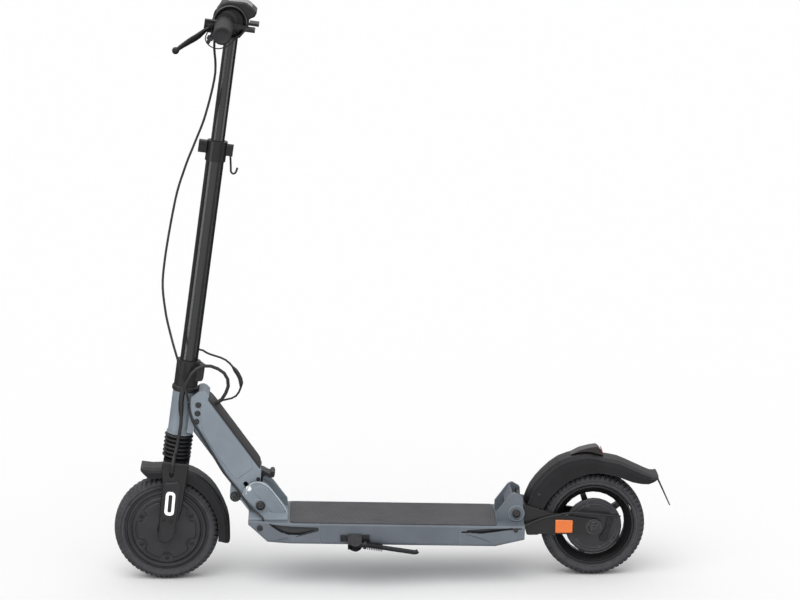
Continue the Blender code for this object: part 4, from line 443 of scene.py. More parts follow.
# %% Vinyl, acrylic, reflectors and film
finish("jacket", "soft_vinyl_jacket", ("#1E1E20", "#28282A", 30), 0.4, (0.6, 0.01))
finish(
    "gloss_trim", "polished_black_trim", ("#0E0E10", "#151517", 12), 0.16, (2, 0.004, 0.4),
    coat=(0.5, 0.06),
)
finish("wrap", "heat_shrink_wrap", ("#1B2850", "#24345F", 25), 0.3, (4, 0.1))
finish(
    "lamp_body", "smoked_red_acrylic", ("#141113", "#1F1516", 8), 0.3, (2, 0.03, 0.5),
    coat=(0.25, 0.1), specular=0.35,
)
finish("silver", "satin_silver_paint", ("#9C9D9F", "#ABACAE", 9), 0.34, (0.3, 0.006), metallic=0.35)
PRISM = (1.6, 0.25)
for key, name, code, strength in (
    ("amber", "amber_reflex_acrylic", "#E8700E", 0.06), ("red", "red_reflex_acrylic", "#8E1512", 0.03)
):
    finish(key, name, (code,), 0.22, PRISM, glow=(code, strength), voronoi=True, coat=(0.7, 0.05))
finish(
    "film", "white_reflective_film", ("#F7F7F7",), 0.35, (0.8, 0.03), glow=("#FFFFFF", 0.25), voronoi=True,
    coat=(0.4, 0.15),
)
print(len(FINISH), "finishes:", ", ".join(sorted(FINISH)))

# %% [markdown]
# The CAD pieces whose shape is right keep it and only change their skin. This table says which
# finish each one takes. Pieces that are replaced further on are in it too, which does no harm.

# %% Dress the CAD pieces
DRESS = {
    "cast_paint": "beam head_tube fold_bracket",
    "shaded_end_paint": "deck_nose deck_tail",
    "deck_paint": "deck_extrusion",
    "black_paint": "collar_clamp fork swing_arm rear_rim",
    "motor_black": "hub_motor brake_plate",
    "tube_paint": "stem_outer_tube stem_inner_tube handlebar",
    "abs": "controller beam_cover headset_cup neck_block head_housing throttle_paddle regen_paddle",
    "fender_plastic": "front_fender rear_fender",
    "inlay": "inlay_front_left inlay_front_right inlay_rear_left inlay_rear_right",
    "rubber": "elastomer_buffer bellows grip_left grip_right mud_flap",
    "mat": "grip_mat",
    "tyre": "front_tyre rear_tyre",
    "wrap": "battery_pack",
    "zinc": "lock_pin suspension_spring stand_spring",
    "black_steel": (
        "fold_pivot_bolt swing_pivot_bolt stand_bracket release_lever clamp_lever brake_mount brake_lever "
        "stand_leg latch_hook brake_arm front_axle rear_axle clamp_bolt"
    ),
    "jacket": "brake_cable_beam display_lead brake_cable_stem motor_lead brake_cable_rear",
    "silver": "display_lens",
    "lamp_body": "tail_light",
}
dressed = {name: key for key, names in DRESS.items() for name in names.split()}
for name, key in dressed.items():
    skin = frame["nodes"][name].data.materials
    skin.clear()
    skin.append(FINISH[key])
print("finishes given; left without one:", sorted(set(frame["nodes"]) - set(dressed)))

# %% [markdown]
# New pieces are built where the CAD says. A local frame on each joint lets a piece be written
# in the plain sizes that its maker would use: across and up from the axle, the steering line,
# the folding pivot or the deck.

# %% Local frames on the joints
JOINTS = {joint["name"]: joint for joint in frame["joints"]}
SIDES = ((-1, "left"), (1, "right"))
DECK_START = Vector((-0.27455, 0, 0.1266))
DECK_TILT = radians(1.4)
BAR_AHEAD, BAR_UP = -14.4, 976.4


def at_joint(name, x_axis=(1, 0, 0), z_axis=(0, 0, 1)):
    """A frame on a joint's point, with these two directions as its x and z."""
    x_axis, z_axis = Vector(x_axis).normalized(), Vector(z_axis).normalized()
    place = Matrix((x_axis, z_axis.cross(x_axis), z_axis)).transposed().to_4x4()
    place.translation = Vector(JOINTS[name]["pos_m"])
    return place


def at(x, y, z, turn=0.0, axis="Y"):
    """A place in millimetres inside a local frame, with a turn in degrees if there is one."""
    return Matrix.Translation((x * MM, y * MM, z * MM)) @ Matrix.Rotation(radians(turn), 4, axis)


def outward(side, x=0.0, face=0.0, z=0.0):
    """A place face mm out on the left (-1) or the right (1), whose z axis points outward."""
    return at(x, side * face, z, -90 * side, "X")


def seat(side, x, face, z):
    """A screw's place face mm out on the left (-1) or the right (1), whose -y points outward."""
    return at(x, side * face, z, 90 + 90 * side, "Z")


up_stem = Vector(JOINTS["steering"]["axis"])
up_beam = Vector(JOINTS["lock_pin"]["axis"])
STEER = at_joint("front_wheel_spin", (up_stem.z, 0, -up_stem.x), up_stem)
BEAM = at_joint("fold", (up_beam.z, 0, -up_beam.x), up_beam)
FOLD, SWING, STAND = at_joint("fold"), at_joint("swing"), at_joint("stand")
FRONT, REAR = at_joint("front_wheel_spin"), at_joint("rear_wheel_spin")
DECK = Matrix.Translation(DECK_START) @ Matrix.Rotation(DECK_TILT, 4, "Y")
BAR = STEER @ at(BAR_AHEAD, 0, BAR_UP)
print("steering line leans", round(STEER.to_euler().y * 180 / pi, 2), "degrees")

# %% [markdown]
# A mesh or a curve becomes a piece when it has a finish, a body that it rides on and
# the CAD nodes that it stands for. Smooth shading stops at edges that turn sharply.

# %% Helpers that make a piece
SHARP = 32


def ride_along(name, data, key, body, hides):
    """Makes a piece of its data: its finish, body and the CAD nodes that it stands for."""
    data.materials.append(FINISH[key])
    piece = place_in_scene(name, data)
    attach(piece, body)
    if hides:
        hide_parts(*hides)
    return piece


def settle(bm, name, key, body, hides=(), angle=SHARP):
    """Makes a piece of a bmesh, with every edge that turns more than the angle left sharp."""
    bmesh.ops.recalc_face_normals(bm, faces=bm.faces)
    for edge in bm.edges:
        if len(edge.link_faces) == 2 and edge.calc_face_angle() > radians(angle):
            edge.smooth = False
    mesh = bpy.data.meshes.new(name)
    bm.to_mesh(mesh)
    bm.free()
    mesh.shade_smooth()
    return ride_along(name, mesh, key, body, hides)


def strip(name, points, radius, key, body, hides=(), place=None):
    """A round bar, cable or wire along points in mm, as a curve with a round bevel."""
    data = bpy.data.curves.new(name, "CURVE")
    data.dimensions = "3D"
    data.bevel_depth = radius * MM
    data.bevel_resolution = 4
    data.resolution_u = 6
    data.use_fill_caps = True
    spline = data.splines.new("NURBS")
    spline.points.add(len(points) - 1)
    for point, (x, y, z) in zip(spline.points, points):
        point.co = (x * MM, y * MM, z * MM, 1)
    spline.use_endpoint_u = True
    spline.order_u = 4
    if place is not None:
        data.transform(place)
    return ride_along(name, data, key, body, hides)


# %% [markdown]
# Most shapes here are rings of points joined by faces: turned round an axis, as a lathe does, or
# stacked from one outline at several depths, as a plate with a chamfered edge is.

# %% Helpers for turned, drawn and cut shapes
SIX_SIDED = 1
NEARLY_STRAIGHT = radians(88)
MOST_OF_HALF = 0.48
FOLDED_BACK = 0.2


def bridge(bm, first, second):
    """Joins two rings of points by faces."""
    count = len(first)
    for k in range(count):
        after = (k + 1) % count
        bm.faces.new((first[k], first[after], second[after], second[k]))


def carry(bm, rings, place):
    """Moves these rings to their place and returns the bmesh."""
    bmesh.ops.transform(bm, matrix=place, verts=[vert for ring in rings for vert in ring])
    return bm


def turned(profile, sides, place, ripple=None, bm=None):
    """Turns rows of (radius, height) in mm round z. A third value of SIX_SIDED makes a hexagon."""
    bm = bm or bmesh.new()
    rings = []
    for radius, height, *hexagon in profile:
        ring = []
        for k in range(sides):
            turn = 2 * pi * k / sides
            reach, level = radius * MM, height * MM
            if hexagon:
                reach = reach * cos(pi / 6) / cos((turn % (pi / 3)) - pi / 6)
            if ripple:
                reach, level = ripple(turn, reach, level)
            ring.append(bm.verts.new((reach * cos(turn), reach * sin(turn), level)))
        rings.append(ring)
    for low, high in zip(rings, rings[1:]):
        bridge(bm, low, high)
    for ring in (rings[0], rings[-1]):
        bm.faces.new(ring)
    return carry(bm, rings, place)


def turned_ring(profile, sides, place, ripple=None, bm=None):
    """Turns a closed profile of (radius, height) round z, so that it has a hole in the middle."""
    bm = bm or bmesh.new()
    rings = []
    for k in range(sides):
        turn = 2 * pi * k / sides
        ring = []
        for row, (radius, height) in enumerate(profile):
            reach, level = ripple(k, row, radius, height) if ripple else (radius, height)
            ring.append(bm.verts.new((reach * MM * cos(turn), reach * MM * sin(turn), level * MM)))
        rings.append(ring)
    count = len(profile)
    for k in range(sides):
        first, second = rings[k], rings[(k + 1) % sides]
        for j in range(count):
            bm.faces.new((first[j], second[j], second[(j + 1) % count], first[(j + 1) % count]))
    return carry(bm, rings, place)


def rounded(corners, steps=4):
    """Rounds a closed outline of (x, z, radius) in mm, each corner by an arc."""
    outline = []
    for k, (x, z, radius) in enumerate(corners):
        here = Vector((x, z))
        back = Vector(corners[k - 1][:2]) - here
        ahead = Vector(corners[(k + 1) % len(corners)][:2]) - here
        half = back.angle(ahead) / 2
        if radius <= 0 or half > NEARLY_STRAIGHT:
            outline.append((x, z))
            continue
        reach = min(radius / tan(half), back.length * MOST_OF_HALF, ahead.length * MOST_OF_HALF)
        start, end = here + back.normalized() * reach, here + ahead.normalized() * reach
        for step in range(steps + 1):
            t = step / steps
            outline.append(tuple(start * (1 - t) ** 2 + here * 2 * t * (1 - t) + end * t ** 2))
    return outline


def shrunk(outline, by):
    """The outline drawn in by this much all round, for a chamfer or a lip."""
    count = len(outline)
    turns = (outline[k - 1][0] * outline[k][1] - outline[k][0] * outline[k - 1][1] for k in range(count))
    inward = by if sum(turns) > 0 else -by
    result = []
    for k in range(count):
        before, here, after = (Vector(outline[(k + d) % count]) for d in (-1, 0, 1))
        first, second = (Vector((-way.y, way.x)).normalized() for way in (here - before, after - here))
        normal = first + second
        if normal.length >= FOLDED_BACK:
            here = here + normal.normalized() * inward
        result.append(tuple(here))
    return result


def layers(rows, place, caps=True):
    """Joins outlines of the same length into one solid. Rows: outline in (x, z), depth y, in mm."""
    bm = bmesh.new()
    rings = []
    for outline, depth in rows:
        depths = [depth(x) if callable(depth) else depth for x, _ in outline]
        rings.append([bm.verts.new((x * MM, y * MM, z * MM)) for (x, z), y in zip(outline, depths)])
    for low, high in zip(rings, rings[1:]):
        bridge(bm, low, high)
    if caps:
        bm.faces.new(rings[0])
        bm.faces.new(rings[-1])
    return carry(bm, rings, place)


def plate(outline, back, front, lip, place):
    """A plate between two depths y in mm, whose front edge is chamfered by the lip."""
    toward = 1 if front > back else -1
    return layers([(outline, back), (outline, front - toward * lip), (shrunk(outline, lip), front)], place)


def socket_head(bm, place, radius, height, key=0.5, sides=24):
    """A button head with a hexagon socket, seen from -y. Its seat is at y = 0 of the place."""
    turned([
        (radius * 0.55, -0.6), (radius, -0.2), (radius, height * 0.35), (radius * 0.9, height * 0.75),
        (radius * 0.68, height), (radius * key, height, SIX_SIDED),
        (radius * key * 0.96, height * 0.3, SIX_SIDED),
    ], sides, place @ outward(-1), bm=bm)


print("mesh helpers ready")

# %% [markdown]
# The tyres are solid rubber with a chunky tread: two rows of slanted shoulder blocks, a ribbed
# crown and a smooth wall with two raised rings. Real tread is cut by the mould, block by
# block, so the profile below is turned in small steps and pressed in at every groove.

# %% Tyres
TREAD_PITCHES = 60
STEPS_A_PITCH = 6
TYRE_PROFILE = [
    (78.4, 19.8), (79.4, 22.0), (81.0, 22.8), (82.0, 23.7), (83.0, 23.7), (83.8, 23.1), (87.6, 24.2),
    (88.4, 24.9), (89.2, 24.9), (89.8, 24.3), (92.6, 23.9), (94.6, 22.6), (96.6, 20.6), (98.2, 17.6),
    (99.2, 14.0), (99.5, 10.6), (98.0, 10.0), (98.0, 8.4), (99.8, 7.8), (99.9, 4.0), (99.9, 2.2),
    (98.2, 1.6),
]
FIRST_BLOCK_ROW, LAST_BLOCK_ROW = 10, 15
FIRST_CROWN_ROW, LAST_CROWN_ROW = 18, 20
BLOCK_GROOVE, FIRST_GROOVE, CROWN_GROOVE = 3.0, 1.5, 1.3
GROOVE_TAPER = 0.012
GROOVE_STARTS = 4
BLOCK_SHIFT, CROWN_SHIFT = 3, 2


def tread(step, row, radius, side):
    """Presses the grooves in: slanted ones across the shoulder, and fine ones on the crown."""
    mirrored = row >= len(TYRE_PROFILE)
    place = 2 * len(TYRE_PROFILE) - 1 - row if mirrored else row
    if FIRST_BLOCK_ROW <= place <= LAST_BLOCK_ROW:
        slant = (place - FIRST_BLOCK_ROW) // 2
        if (step + slant + mirrored * BLOCK_SHIFT) % STEPS_A_PITCH >= GROOVE_STARTS:
            depth = BLOCK_GROOVE if place > FIRST_BLOCK_ROW else FIRST_GROOVE
            return radius - depth, side * (1 - GROOVE_TAPER * depth)
    if FIRST_CROWN_ROW <= place <= LAST_CROWN_ROW:
        if (step + place - FIRST_CROWN_ROW + mirrored * CROWN_SHIFT) % STEPS_A_PITCH == 0:
            return radius - CROWN_GROOVE, side
    return radius, side


both_walls = TYRE_PROFILE + [(radius, -side) for radius, side in reversed(TYRE_PROFILE)]
for end, axle in (("front", FRONT), ("rear", REAR)):
    bm = turned_ring(both_walls, TREAD_PITCHES * STEPS_A_PITCH, axle @ outward(-1), tread)
    settle(bm, end + "_tyre_tread", "tyre", end + "_wheel", (end + "_tyre",), 50)
print("tread:", TREAD_PITCHES, "blocks a side on each tyre")

# %% [markdown]
# The front wheel is a hub motor. Its cover is one turned casting: a raised middle, six ears
# that take the cover screws, and a shallow groove between them that follows the ears round.

# %% Motor covers
EAR_COUNT = 6
EAR_RADIUS = 55.0
EAR_SPREAD, EAR_FLANK = radians(13), radians(4)
EAR_FROM, EAR_TO, EAR_DEPTH = 46, 62, 9
MOTOR_FACE = 28.6
COVER_SCREW_SEAT = MOTOR_FACE - 1.4
COVER_PROFILE = [
    (16.5, -1.0), (17, 1.3), (22, 1.6), (24, 0.9), (40, 0.6), (54.6, 0.2), (55.8, -0.6), (56.3, -2.0),
    (58.3, -2.0), (59.0, -0.8), (60.5, -0.6), (63.4, -1.0), (65.2, -2.4), (66.4, -5.4), (68.4, -6.0),
    (69.6, -5.2), (73.6, -5.0), (75.2, -6.2), (76.4, -8.6), (79.0, -9.0),
]


def ear_ripple(turn, reach, height):
    """Draws the middle ring in where an ear is, so that the groove runs round each ear."""
    if EAR_FROM * MM < reach < EAR_TO * MM:
        step = 2 * pi / EAR_COUNT
        off = abs((turn - pi / 6 + step / 2) % step - step / 2)
        reach -= max(0.0, min(1.0, (EAR_SPREAD - off) / EAR_FLANK)) * EAR_DEPTH * MM
    return reach, height


for side, word in SIDES:
    name = "motor_cover_" + word
    profile = [(radius, MOTOR_FACE + rise) for radius, rise in COVER_PROFILE]
    bm = turned(profile, 144, FRONT @ outward(side), ear_ripple)
    bmesh.ops.delete(bm, geom=[face for face in bm.faces if len(face.verts) > 4], context="FACES_ONLY")
    settle(bm, name, "motor_black", "front_wheel")
    bm = bmesh.new()
    for k in range(EAR_COUNT):
        turn = pi / 6 + k * 2 * pi / EAR_COUNT
        spot = seat(side, EAR_RADIUS * cos(turn), COVER_SCREW_SEAT, EAR_RADIUS * sin(turn))
        socket_head(bm, FRONT @ spot, 3.8, 2.4, 0.52)
    settle(bm, name + "_screws", "black_steel", "front_wheel")
print("motor covers with", EAR_COUNT, "screws each")

# %% [markdown]
# A moulded cover hides each end of the front axle. It is screwed over the fork leg by two
# small screws under a long white reflective ring, and the cable from the motor enters its top.

# %% Fork leg covers
LEG_FACE = 47.0
LEG_COVER = rounded([
    (-15.8, 98, 4), (11.5, 104.5, 5), (17.6, 90.3, 14), (19.3, 29, 16), (16.4, -9, 9), (3, -22, 8),
    (-13, -17, 7), (-13.4, 8.7, 12), (-15.6, 68, 20),
])
LEG_COVER_STEPS = ((0, 0.1), (0, 1.4), (0.5, 1.9), (2.2, 2.1), (3.4, 3.3))
RING_OUT = rounded([(-9.8, 82.5, 8.6), (8.2, 82.5, 8.6), (10.2, 36, 8.6), (-8.2, 36, 8.6)], 6)
RING_IN = rounded([(-4.0, 76.5, 3.2), (3.2, 76.5, 3.2), (4.6, 42, 3.2), (-2.6, 42, 3.2)], 6)
RING_BACK, RING_FRONT, RING_LIP = 3.0, 3.9, 0.4
LEG_SCREWS = (
    (-7.6, 25.6, 2.9, 3.4, 1.8, 24), (6.6, 25.6, 2.9, 3.4, 1.8, 24),
    (-6, 90, 2.6, 2.2, 1.2, 18), (5.4, 92, 2.6, 2.2, 1.2, 18),
)
for side, word in SIDES:
    rows = [
        (shrunk(LEG_COVER, by) if by else LEG_COVER, side * (LEG_FACE + rise)) for by, rise in LEG_COVER_STEPS
    ]
    settle(layers(rows, STEER), "leg_cover_" + word, "abs", "fork")
    back, front = side * (LEG_FACE + RING_BACK), side * (LEG_FACE + RING_FRONT)
    rows = [(RING_OUT, back), (RING_OUT, front - RING_LIP), (shrunk(RING_OUT, RING_LIP), front)]
    rows += [(shrunk(RING_IN, -RING_LIP), front), (RING_IN, front - RING_LIP), (RING_IN, back)]
    settle(layers(rows, STEER, caps=False), "leg_reflector_" + word, "film", "fork")
    bm = bmesh.new()
    for x, z, rise, radius, height, corners in LEG_SCREWS:
        spot = STEER @ seat(side, x, LEG_FACE + rise, z)
        socket_head(bm, spot, radius, height, sides=corners)
    settle(bm, "leg_cover_screws_" + word, "black_steel", "fork")
print("leg covers", len(SIDES), "with rings", len(SIDES))

# %% [markdown]
# Soft pieces come next. Each is a plain solid in the CAD model, so here it is replaced by the
# shape that its maker gives it: a gaiter with rounded folds and springs wound from round wire.

# %% Gaiter and springs
GAITER_LOW, GAITER_HIGH = 138.3, 186.0
GAITER_FOLDS = 6
GAITER_OUT, GAITER_IN, GAITER_BORE = 27.2, 20.6, 19.3
GAITER_SEAT = GAITER_IN + 0.6
FOLD_STEPS = 8
FORK_TRAVEL = 14.0
FORK_SPRING_LOW, FORK_SPRING_HIGH = 190.3, 234.7
FORK_SPRING_TURNS, STAND_SPRING_TURNS = 5, 9
FORK_WIRE, STAND_WIRE = 1.5, 0.9
ROD = STAND @ at(16, 0, 1.6, 9.4)


def squeeze(piece, joint, local, low, high, axis, travel):
    """Gives a soft piece a mesh of its own; it does not shorten it. Its seat that stays put is high, in mm,
    which is not used.
    """
    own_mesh(piece)


def helix(radius, wire, turns, low, high, per_turn=16):
    """Points along a coil round z whose end turns touch the seats, in mm."""
    count = int(turns * per_turn) + 1
    climb = (high - low - 2 * wire) / (count - 1)
    angles = [2 * pi * k / per_turn for k in range(count)]
    return [(radius * cos(turn), radius * sin(turn), low + wire + climb * k) for k, turn in enumerate(angles)]


def wound(points, radius, place, sides=10):
    """Round wire along a coil round z, as a mesh."""
    bm = bmesh.new()
    rings = []
    for k, point in enumerate(points):
        here = Vector(point)
        ahead = (Vector(points[min(k + 1, len(points) - 1)]) - Vector(points[max(k - 1, 0)])).normalized()
        out = Vector((here.x, here.y, 0)).normalized()
        across = ahead.cross(out).normalized()
        turns = [2 * pi * j / sides for j in range(sides)]
        rings.append([bm.verts.new((here + (out * cos(t) + across * sin(t)) * radius) * MM) for t in turns])
    for first, second in zip(rings, rings[1:]):
        bridge(bm, first, second)
    bm.faces.new(rings[0])
    bm.faces.new(rings[-1])
    return carry(bm, rings, place)


profile = [(GAITER_BORE, GAITER_LOW), (GAITER_SEAT, GAITER_LOW)]
steps = GAITER_FOLDS * FOLD_STEPS
for step in range(1, steps):
    share = step / steps
    crest = abs(sin(pi * (share * GAITER_FOLDS % 1.0))) ** 0.7
    radius = GAITER_IN + (GAITER_OUT - GAITER_IN) * crest
    profile.append((radius, GAITER_LOW + share * (GAITER_HIGH - GAITER_LOW)))
profile += [(GAITER_SEAT, GAITER_HIGH), (GAITER_BORE, GAITER_HIGH)]
bm = turned_ring(profile, 64, STEER)
gaiter = settle(bm, "fork_gaiter", "rubber", "steerer", ("bellows",), 60)
squeeze(gaiter, "suspension", STEER, (0, 0, GAITER_LOW), (0, 0, GAITER_HIGH), (0, 0, 1), FORK_TRAVEL)

coil = helix(10.6, FORK_WIRE, FORK_SPRING_TURNS, FORK_SPRING_LOW, FORK_SPRING_HIGH)
bm = wound(coil, FORK_WIRE, STEER)
spring = settle(bm, "fork_spring_coils", "zinc", "steerer", ("suspension_spring",), 60)
seats = ((0, 0, FORK_SPRING_LOW), (0, 0, FORK_SPRING_HIGH))
squeeze(spring, "suspension", STEER, *seats, (0, 0, 1), FORK_TRAVEL)
coil = [(z, y, -x) for x, y, z in helix(7.1, STAND_WIRE, STAND_SPRING_TURNS, 4.3, 36.3)]
strip("stand_spring_coils", coil, STAND_WIRE, "black_steel", "stand", ("stand_spring",), ROD)
print("gaiter with", GAITER_FOLDS, "folds, springs of", FORK_SPRING_TURNS, "and", STAND_SPRING_TURNS, "turns")

# %% [markdown]
# The grips have small pads between grooves, the deck mat a field of low waves, and the buffer
# two grooves round it. The height of each wave is kept on the mesh too, so that the mat's
# finish can paint shade into the valleys.

# %% Grips, deck mat and buffer
GRIP_PADS, GRIP_ROWS = 24, 26
GRIP_LOW, GRIP_HIGH = 122.0, 226.0
PAD_RISE, GROOVE_DEPTH, GROOVE_SHARE = 0.4, 0.35, 0.2
GRIP_FLANGE = [
    (11.3, 115.0), (17.2, 115.0), (18.0, 115.8), (18.0, 117.6), (17.0, 118.6), (15.2, 119.2), (15.2, 120.6),
]
GRIP_RADIUS = 16.0
GRIP_END = [
    (15.0, 226.8), (15.0, 228.4), (16.5, 229.0), (16.5, 232.0), (15.9, 234.0), (14.4, 235.0), (12.0, 235.0),
    (11.6, 234.6), (3.0, 234.6),
]


def pad(turn, reach, height):
    """Raises small pads between grooves that run along the grip and round it."""
    level = height / MM
    if GRIP_LOW <= level <= GRIP_HIGH:
        row = (level - GRIP_LOW) / (GRIP_HIGH - GRIP_LOW) * GRIP_ROWS
        column = turn / (2 * pi) * GRIP_PADS
        groove = any(min(place % 1.0, 1 - place % 1.0) < GROOVE_SHARE for place in (row, column))
        reach += (-GROOVE_DEPTH if groove else PAD_RISE) * MM
    return reach, height


for side, word in SIDES:
    last = GRIP_ROWS * 3
    body = [(GRIP_RADIUS, GRIP_LOW + (GRIP_HIGH - GRIP_LOW) * row / last) for row in range(last + 1)]
    bm = turned(GRIP_FLANGE + body + GRIP_END, GRIP_PADS * 3, BAR @ outward(side), pad)
    node = "grip_" + word
    settle(bm, node + "_rubber", "rubber", "upper_stem", (node,), 60)

MAT_FROM, MAT_TO = 79.0, 471.3
MAT_HALF = 70.6
MAT_CORNER = 9.0
MAT_LOW, MAT_HIGH = 0.3, 1.9
MAT_STEP = 1.6
WAVE_PITCH = 9.5
WAVE_HEIGHT = 1.1
LINE_SPREAD, SWAY, SWAY_LENGTH = 1.15, 5.0, 21
ARC_REACH, ARC_SQUEEZE = 190, 1.25
EDGE_BAND, RIM_BAND, RIM_DROP = 3.0, 0.3, 0.6
# The level of the painted valley shade on the mat's flat rim.
FLAT_RIM_SHADE_LEVEL = 0.8


def mat_wave(x, y):
    """Low ridges that run along the deck in its middle and curl into arcs towards its ends."""
    off = abs((x - (MAT_FROM + MAT_TO) / 2) / (MAT_TO - MAT_FROM) * 2)
    bend = off ** 1.5
    arc = sqrt((off * ARC_REACH) ** 2 + (ARC_SQUEEZE * y) ** 2)
    line = y * LINE_SPREAD + SWAY * sin(x / SWAY_LENGTH)
    return 0.5 + 0.5 * sin(2 * pi * (bend * arc + (1 - bend) * line) / WAVE_PITCH)


def mat_half(x):
    """Half the mat's width here: its corners are rounded."""
    edge = min(x - MAT_FROM, MAT_TO - x)
    if edge < MAT_CORNER:
        return MAT_HALF - MAT_CORNER + sqrt(max(MAT_CORNER ** 2 - (MAT_CORNER - edge) ** 2, 0.0))
    return MAT_HALF


bm = bmesh.new()
wave_layer = bm.verts.layers.float.new("wave")
columns = int((MAT_TO - MAT_FROM) / MAT_STEP)
lanes = int(2 * MAT_HALF / MAT_STEP)
grid = []
for i in range(columns + 1):
    x = MAT_FROM + (MAT_TO - MAT_FROM) * i / columns
    half = mat_half(x)
    line = []
    for j in range(lanes + 1):
        y = half * (2 * j / lanes - 1)
        inside = min(x - MAT_FROM, MAT_TO - x, half - abs(y))
        height = MAT_HIGH if inside > RIM_BAND else MAT_HIGH - RIM_DROP
        if inside > EDGE_BAND:
            height += WAVE_HEIGHT * (mat_wave(x, y) - 0.5)
        vert = bm.verts.new((x * MM, y * MM, height * MM))
        vert[wave_layer] = mat_wave(x, y) if inside > EDGE_BAND else FLAT_RIM_SHADE_LEVEL
        line.append(vert)
    grid.append(line)
for first, second in zip(grid, grid[1:]):
    for j in range(lanes):
        bm.faces.new((first[j], second[j], second[j + 1], first[j + 1]))
rim = [edge for edge in bm.edges if len(edge.link_faces) == 1]
for item in bmesh.ops.extrude_edge_only(bm, edges=rim)["geom"]:
    if isinstance(item, bmesh.types.BMVert):
        item.co.z = MAT_LOW * MM
bmesh.ops.transform(bm, matrix=DECK, verts=bm.verts)
settle(bm, "deck_mat_waves", "mat", "deck", ("grip_mat",), 60)

BUFFER_OUTLINE = rounded([(-11.6, 16.8, 2), (-2.4, 13.5, 2), (2.5, 27.5, 2), (-6.7, 30.8, 2)])
BUFFER_ENDS, BUFFER_GROOVE = shrunk(BUFFER_OUTLINE, 1.2), shrunk(BUFFER_OUTLINE, 0.7)
BUFFER_AXIS = (0.945, 0, -0.327)
BUFFER_SEATS = ((0.1, 0, 20.6), (-9.2, 0, 23.8))
BUFFER_TRAVEL = 4.2
half_buffer = [
    (BUFFER_OUTLINE, 3.6), (BUFFER_GROOVE, 4.4), (BUFFER_GROOVE, 5.6), (BUFFER_OUTLINE, 6.4),
    (BUFFER_OUTLINE, 14.8), (BUFFER_ENDS, 16),
]
bm = layers([(outline, -depth) for outline, depth in reversed(half_buffer)] + half_buffer, SWING)
buffer = settle(bm, "rubber_buffer", "rubber", "deck", ("elastomer_buffer",))
squeeze(buffer, "swing", SWING, *BUFFER_SEATS, BUFFER_AXIS, BUFFER_TRAVEL)
print("grips with", GRIP_PADS * GRIP_ROWS, "pads each, mat", columns, "by", lanes)

# %% [markdown]
# Screws and rims are what the eye reads as real hardware. Three screws clamp the beam to the
# head tube, one closes the lug, and the rest hold the deck ends. A raised bead follows the edge
# of each cheek of the folding bracket; its light colour is a painted highlight, as are the
# light rims of the screw heads.

# %% Screws of the beam, the fold and the deck
CHEEK_FACE = 39.0
PIN_CAP_AT = (-0.27295, 0.0361, 0.18275)
CHEEK_RIM = [
    (-27.0, 22), (-26.2, 31), (-22.2, 39.4), (-14.0, 45.2), (-3.6, 46.2), (6.4, 43.0), (16.9, 35.4),
    (26.2, 24.0), (34.2, 12.0), (42.3, 0.6), (49.4, -10.8), (51.0, -19),
]
CHEEK_PANEL = rounded([
    (-13.5, 33.0, 5), (-2.0, 39.6, 8), (10.4, 37.0, 8), (20.4, 27.4, 8), (46.6, -10.0, 4), (46.8, -21, 3),
    (27.0, -21, 6), (9.5, -1.0, 10), (2.4, 11.6, 10), (-9.5, 20.5, 7),
])
LUG_BOSS = [(10.2, -0.3), (10.2, 0.5), (9.6, 1.0), (7.6, 1.0), (7.0, 0.6), (7.0, -0.3)]
PIN_CAP = [(4.2, -1.0), (5.9, -0.4), (6.1, 0.4), (5.6, 1.2), (3.4, 1.5), (1.2, 1.6)]


def both_sides(local, rows, face, name, radius, height, body):
    """The same screws on the left face and on the right face, face mm out from the middle."""
    bm = bmesh.new()
    for side, _ in SIDES:
        for x, z in rows:
            socket_head(bm, local @ seat(side, x, face, z), radius, height)
    settle(bm, name, "screw_black", body)


both_sides(BEAM, ((18.9, 226.2), (8.2, 213.9), (-2.6, 202.2)), 32.8, "beam_head_screws", 5.6, 2.4, "beam")
both_sides(FOLD, ((0, 0),), 42.9, "fold_pivot_sockets", 7.2, 1.5, "deck")
both_sides(FOLD, ((-48.3, 12.4),), 20.6, "lug_screws", 6.2, 3.2, "deck")
both_sides(DECK, ((22.3, -12.9),), 64.6, "nose_screws", 5.9, 2.8, "deck")
both_sides(DECK, ((468.6, -17.9), (506.4, -7.5)), 73.9, "tail_screws", 4.4, 2.2, "deck")
for side, word in SIDES:
    face = side * CHEEK_FACE
    bead = [(x, face, z) for x, z in CHEEK_RIM]
    # The bead's light finish is a painted highlight along the cheek's rim.
    strip("cheek_bead_" + word, bead, 1.25, "bead_highlight", "deck", (), FOLD)
    bm = plate(CHEEK_PANEL, face - side * 0.4, face + side * 1.3, 1.3, FOLD)
    settle(bm, "cheek_panel_" + word, "cast_paint", "deck", angle=20)
    bm = turned(LUG_BOSS, 36, FOLD @ outward(side, -48.3, 20.9, 12.4))
    settle(bm, "lug_boss_" + word, "black_paint", "deck")
    x, y, z = PIN_CAP_AT
    bm = turned(PIN_CAP, 32, Matrix.Translation((x, side * y, z)) @ outward(side))
    # The pin caps take the zinc with a painted glow.
    settle(bm, "lock_pin_cap_" + word, "zinc_painted_glow", "lock_pin")
print("screws on both sides, cheek beads and pin caps")

# %% [markdown]
# The leaf inlays at both ends of the deck sit in pockets. A dark sliver of painted shadow under
# the upper edge of each pocket and a thin line of painted shade along a crease below its tip
# give them their depth at this distance.

